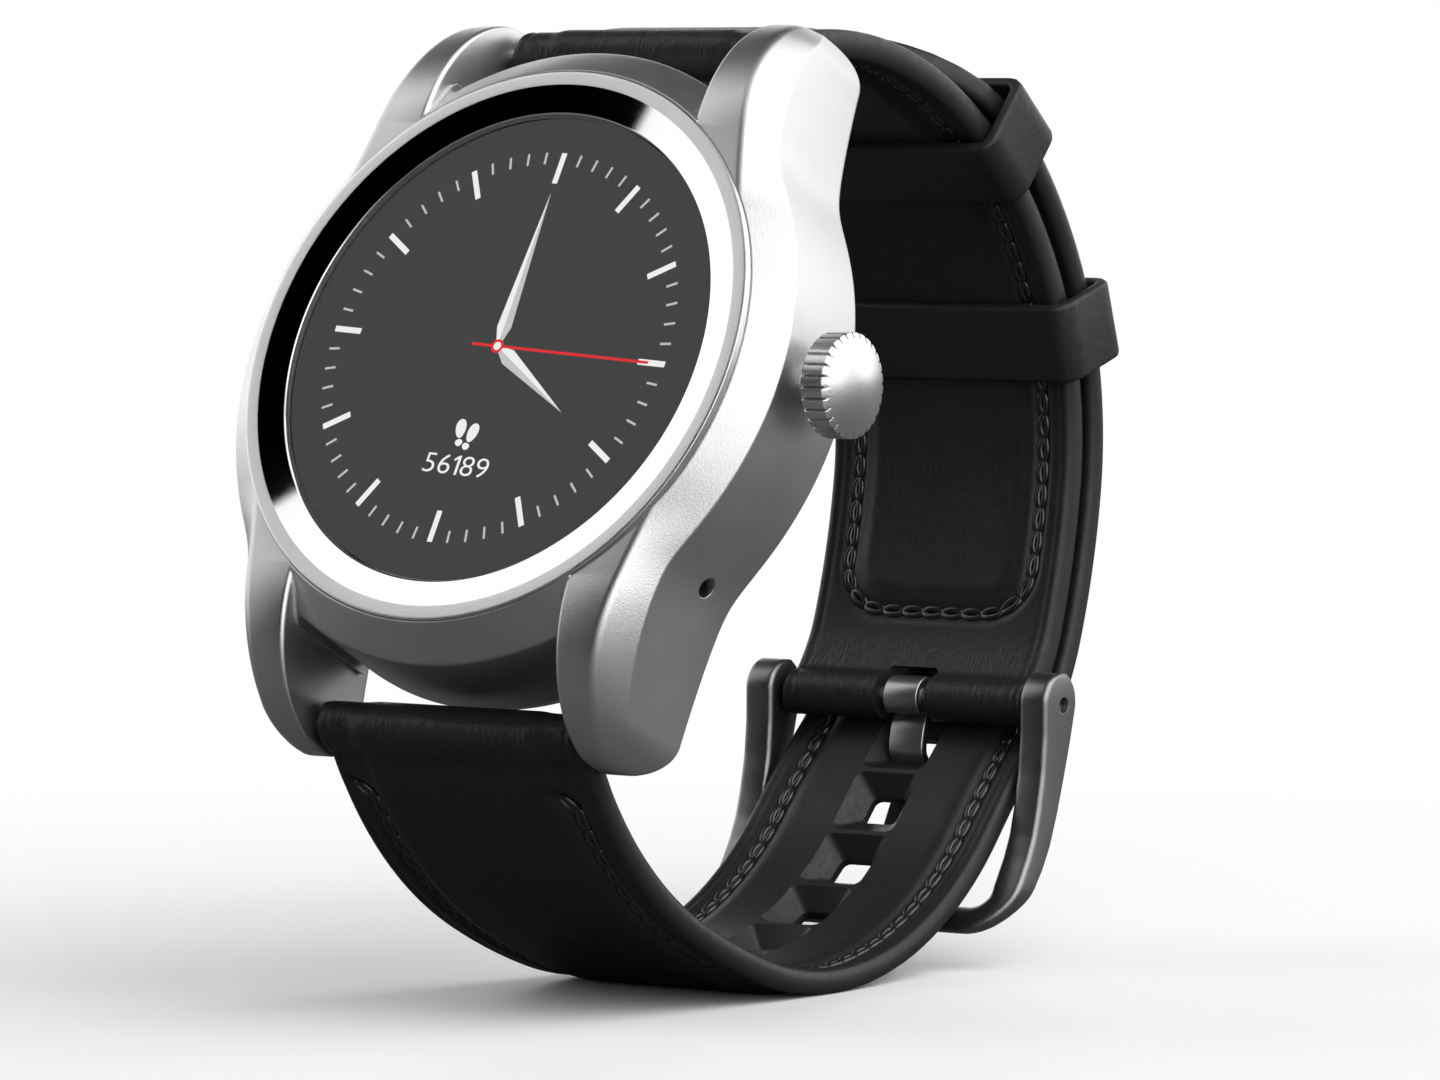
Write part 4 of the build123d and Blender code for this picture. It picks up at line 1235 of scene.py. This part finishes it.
# ================================================================ stage, light, camera
floor_mesh = bpy.data.meshes.new("floor")
floor_mesh.from_pydata([(-3, -3, 0), (3, -3, 0), (3, 3, 0), (-3, 3, 0)], [], [(0, 1, 2, 3)])
floor = in_scene("floor", floor_mesh)
floor_mat, nt, bsdf, out = node_material("floor_paper")
path_node = add(nt, "ShaderNodeLightPath")
mix = add(nt, "ShaderNodeMix", data_type="RGBA")
mix.inputs[6].default_value = (0.12, 0.12, 0.12, 1)
mix.inputs[7].default_value = (0.97, 0.97, 0.97, 1)
link(nt, path_node.outputs["Is Camera Ray"], mix.inputs[0])
link(nt, mix.outputs[2], bsdf.inputs["Base Color"])
# away from the watch the sheet runs out into plain white
length = add(nt, "ShaderNodeVectorMath", operation="LENGTH")
link(nt, coords(nt), length.inputs[0])
away = ramp(nt, length.outputs["Value"], 0.0, 1.0, 0.06, 0.16)
glow = add(nt, "ShaderNodeMath", operation="MULTIPLY")
link(nt, away, glow.inputs[0])
link(nt, path_node.outputs["Is Camera Ray"], glow.inputs[1])
white = add(nt, "ShaderNodeEmission")
white.inputs["Color"].default_value = (1, 1, 1, 1)
blend = add(nt, "ShaderNodeMixShader")
link(nt, glow.outputs[0], blend.inputs[0])
link(nt, bsdf.outputs[0], blend.inputs[1])
link(nt, white.outputs[0], blend.inputs[2])
link(nt, blend.outputs[0], out.inputs["Surface"])
with_inputs(bsdf, Roughness=0.6, Specular_IOR_Level=0.15)
floor.data.materials.append(floor_mat)

world = bpy.data.worlds.new("studio")
bpy.context.scene.world = world
world.use_nodes = True
wt = world.node_tree
wt.nodes.clear()
w_out = wt.nodes.new("ShaderNodeOutputWorld")
w_bg = wt.nodes.new("ShaderNodeBackground")
w_tex = wt.nodes.new("ShaderNodeTexCoord")


def facing(direction, low, high, v0, v1):
    """v0 to v1 as the dot product with a direction goes from low to high."""
    dot = add(wt, "ShaderNodeVectorMath", operation="DOT_PRODUCT")
    link(wt, w_tex.outputs["Generated"], dot.inputs[0])
    dot.inputs[1].default_value = Vector(direction).normalized()
    return ramp(wt, dot.outputs["Value"], v0, v1, low, high, interpolation_type="SMOOTHSTEP")


def combine(operation, a, b):
    n = add(wt, "ShaderNodeMath", operation=operation)
    link(wt, a, n.inputs[0])
    link(wt, b, n.inputs[1])
    return n.outputs[0]


# white above the horizon and dark below it, a dark ceiling, half the light from the camera's side, a black card
# where two directions meet, a bright panel on the right and another behind on the left
sky = facing((0, 0, 1), -0.02, 0.10, 0.07, 1.25)
ceiling = facing((-0.30, 0.35, 0.89), 0.79, 0.85, 1.0, 0.05)
near = facing((0.30, -1.0, 0.0), 0.10, 0.75, 1.0, 0.50)
card = combine("MAXIMUM", facing((0.544, -0.810, -0.2155), 0.005, 0.03, 1.0, 0.0),
               facing((-0.36, -0.81, 0.46), 0.74, 0.80, 1.0, 0.0))
level = combine("MULTIPLY", combine("MULTIPLY", sky, ceiling), combine("MULTIPLY", near, card))
level = combine("MAXIMUM", level, facing((0.85, -0.36, 0.32), 0.68, 0.88, 0.0, 2.2))
level = combine("MAXIMUM", level, facing((-0.80, 0.58, -0.12), 0.80, 0.93, 0.0, 1.6))
w_path = wt.nodes.new("ShaderNodeLightPath")
w_pick = add(wt, "ShaderNodeMix", data_type="FLOAT")
link(wt, w_path.outputs["Is Camera Ray"], w_pick.inputs[0])
link(wt, level, w_pick.inputs[2])
w_pick.inputs[3].default_value = 1.0
link(wt, w_pick.outputs[0], w_bg.inputs["Strength"])
w_bg.inputs["Color"].default_value = (1, 1, 1, 1)
link(wt, w_bg.outputs[0], w_out.inputs["Surface"])

FOCUS = DIAL * MM


def area(name, energy, size, toward, distance, size_y=None):
    """Soft area light at a distance from the dial, in direction `toward`, facing it."""
    data = bpy.data.lights.new(name, "AREA")
    data.energy = energy
    data.shape = "RECTANGLE"
    data.size = size
    data.size_y = size_y or size
    obj = in_scene(name, data)
    d = Vector(toward).normalized()
    obj.location = Vector(FOCUS) + d * distance
    obj.rotation_euler = d.to_track_quat("Z", "Y").to_euler()


area("back_right", 0.3, 0.35, (0.55, 0.9, 0.5), 0.6, 0.5)
area("overhead", 1.1, 0.5, (0.62, 0.10, 0.80), 0.7)

# the camera looks at the watch from the front right, nearly level
camera_data = bpy.data.cameras.new("camera")
camera = in_scene("camera", camera_data)
bpy.context.scene.camera = camera
camera_data.lens = 197.57
camera_data.sensor_width = 36.0
camera_data.clip_start = 0.01
right = np.array([0.8078, 0.5895, 0.0])
back = np.array([0.5885, -0.8064, 0.0575])
up = np.cross(back, right)
CAMERA_DISTANCE = 514.54
aim = DIAL + FACE_R * (1.0808 * right - 0.9376 * up)
eye = (aim + CAMERA_DISTANCE * back) * MM
camera.matrix_world = Matrix((
    (right[0], up[0], back[0], eye[0]),
    (right[1], up[1], back[1], eye[1]),
    (right[2], up[2], back[2], eye[2]),
    (0, 0, 0, 1)))

bpy.context.scene.view_settings.view_transform = "Standard"
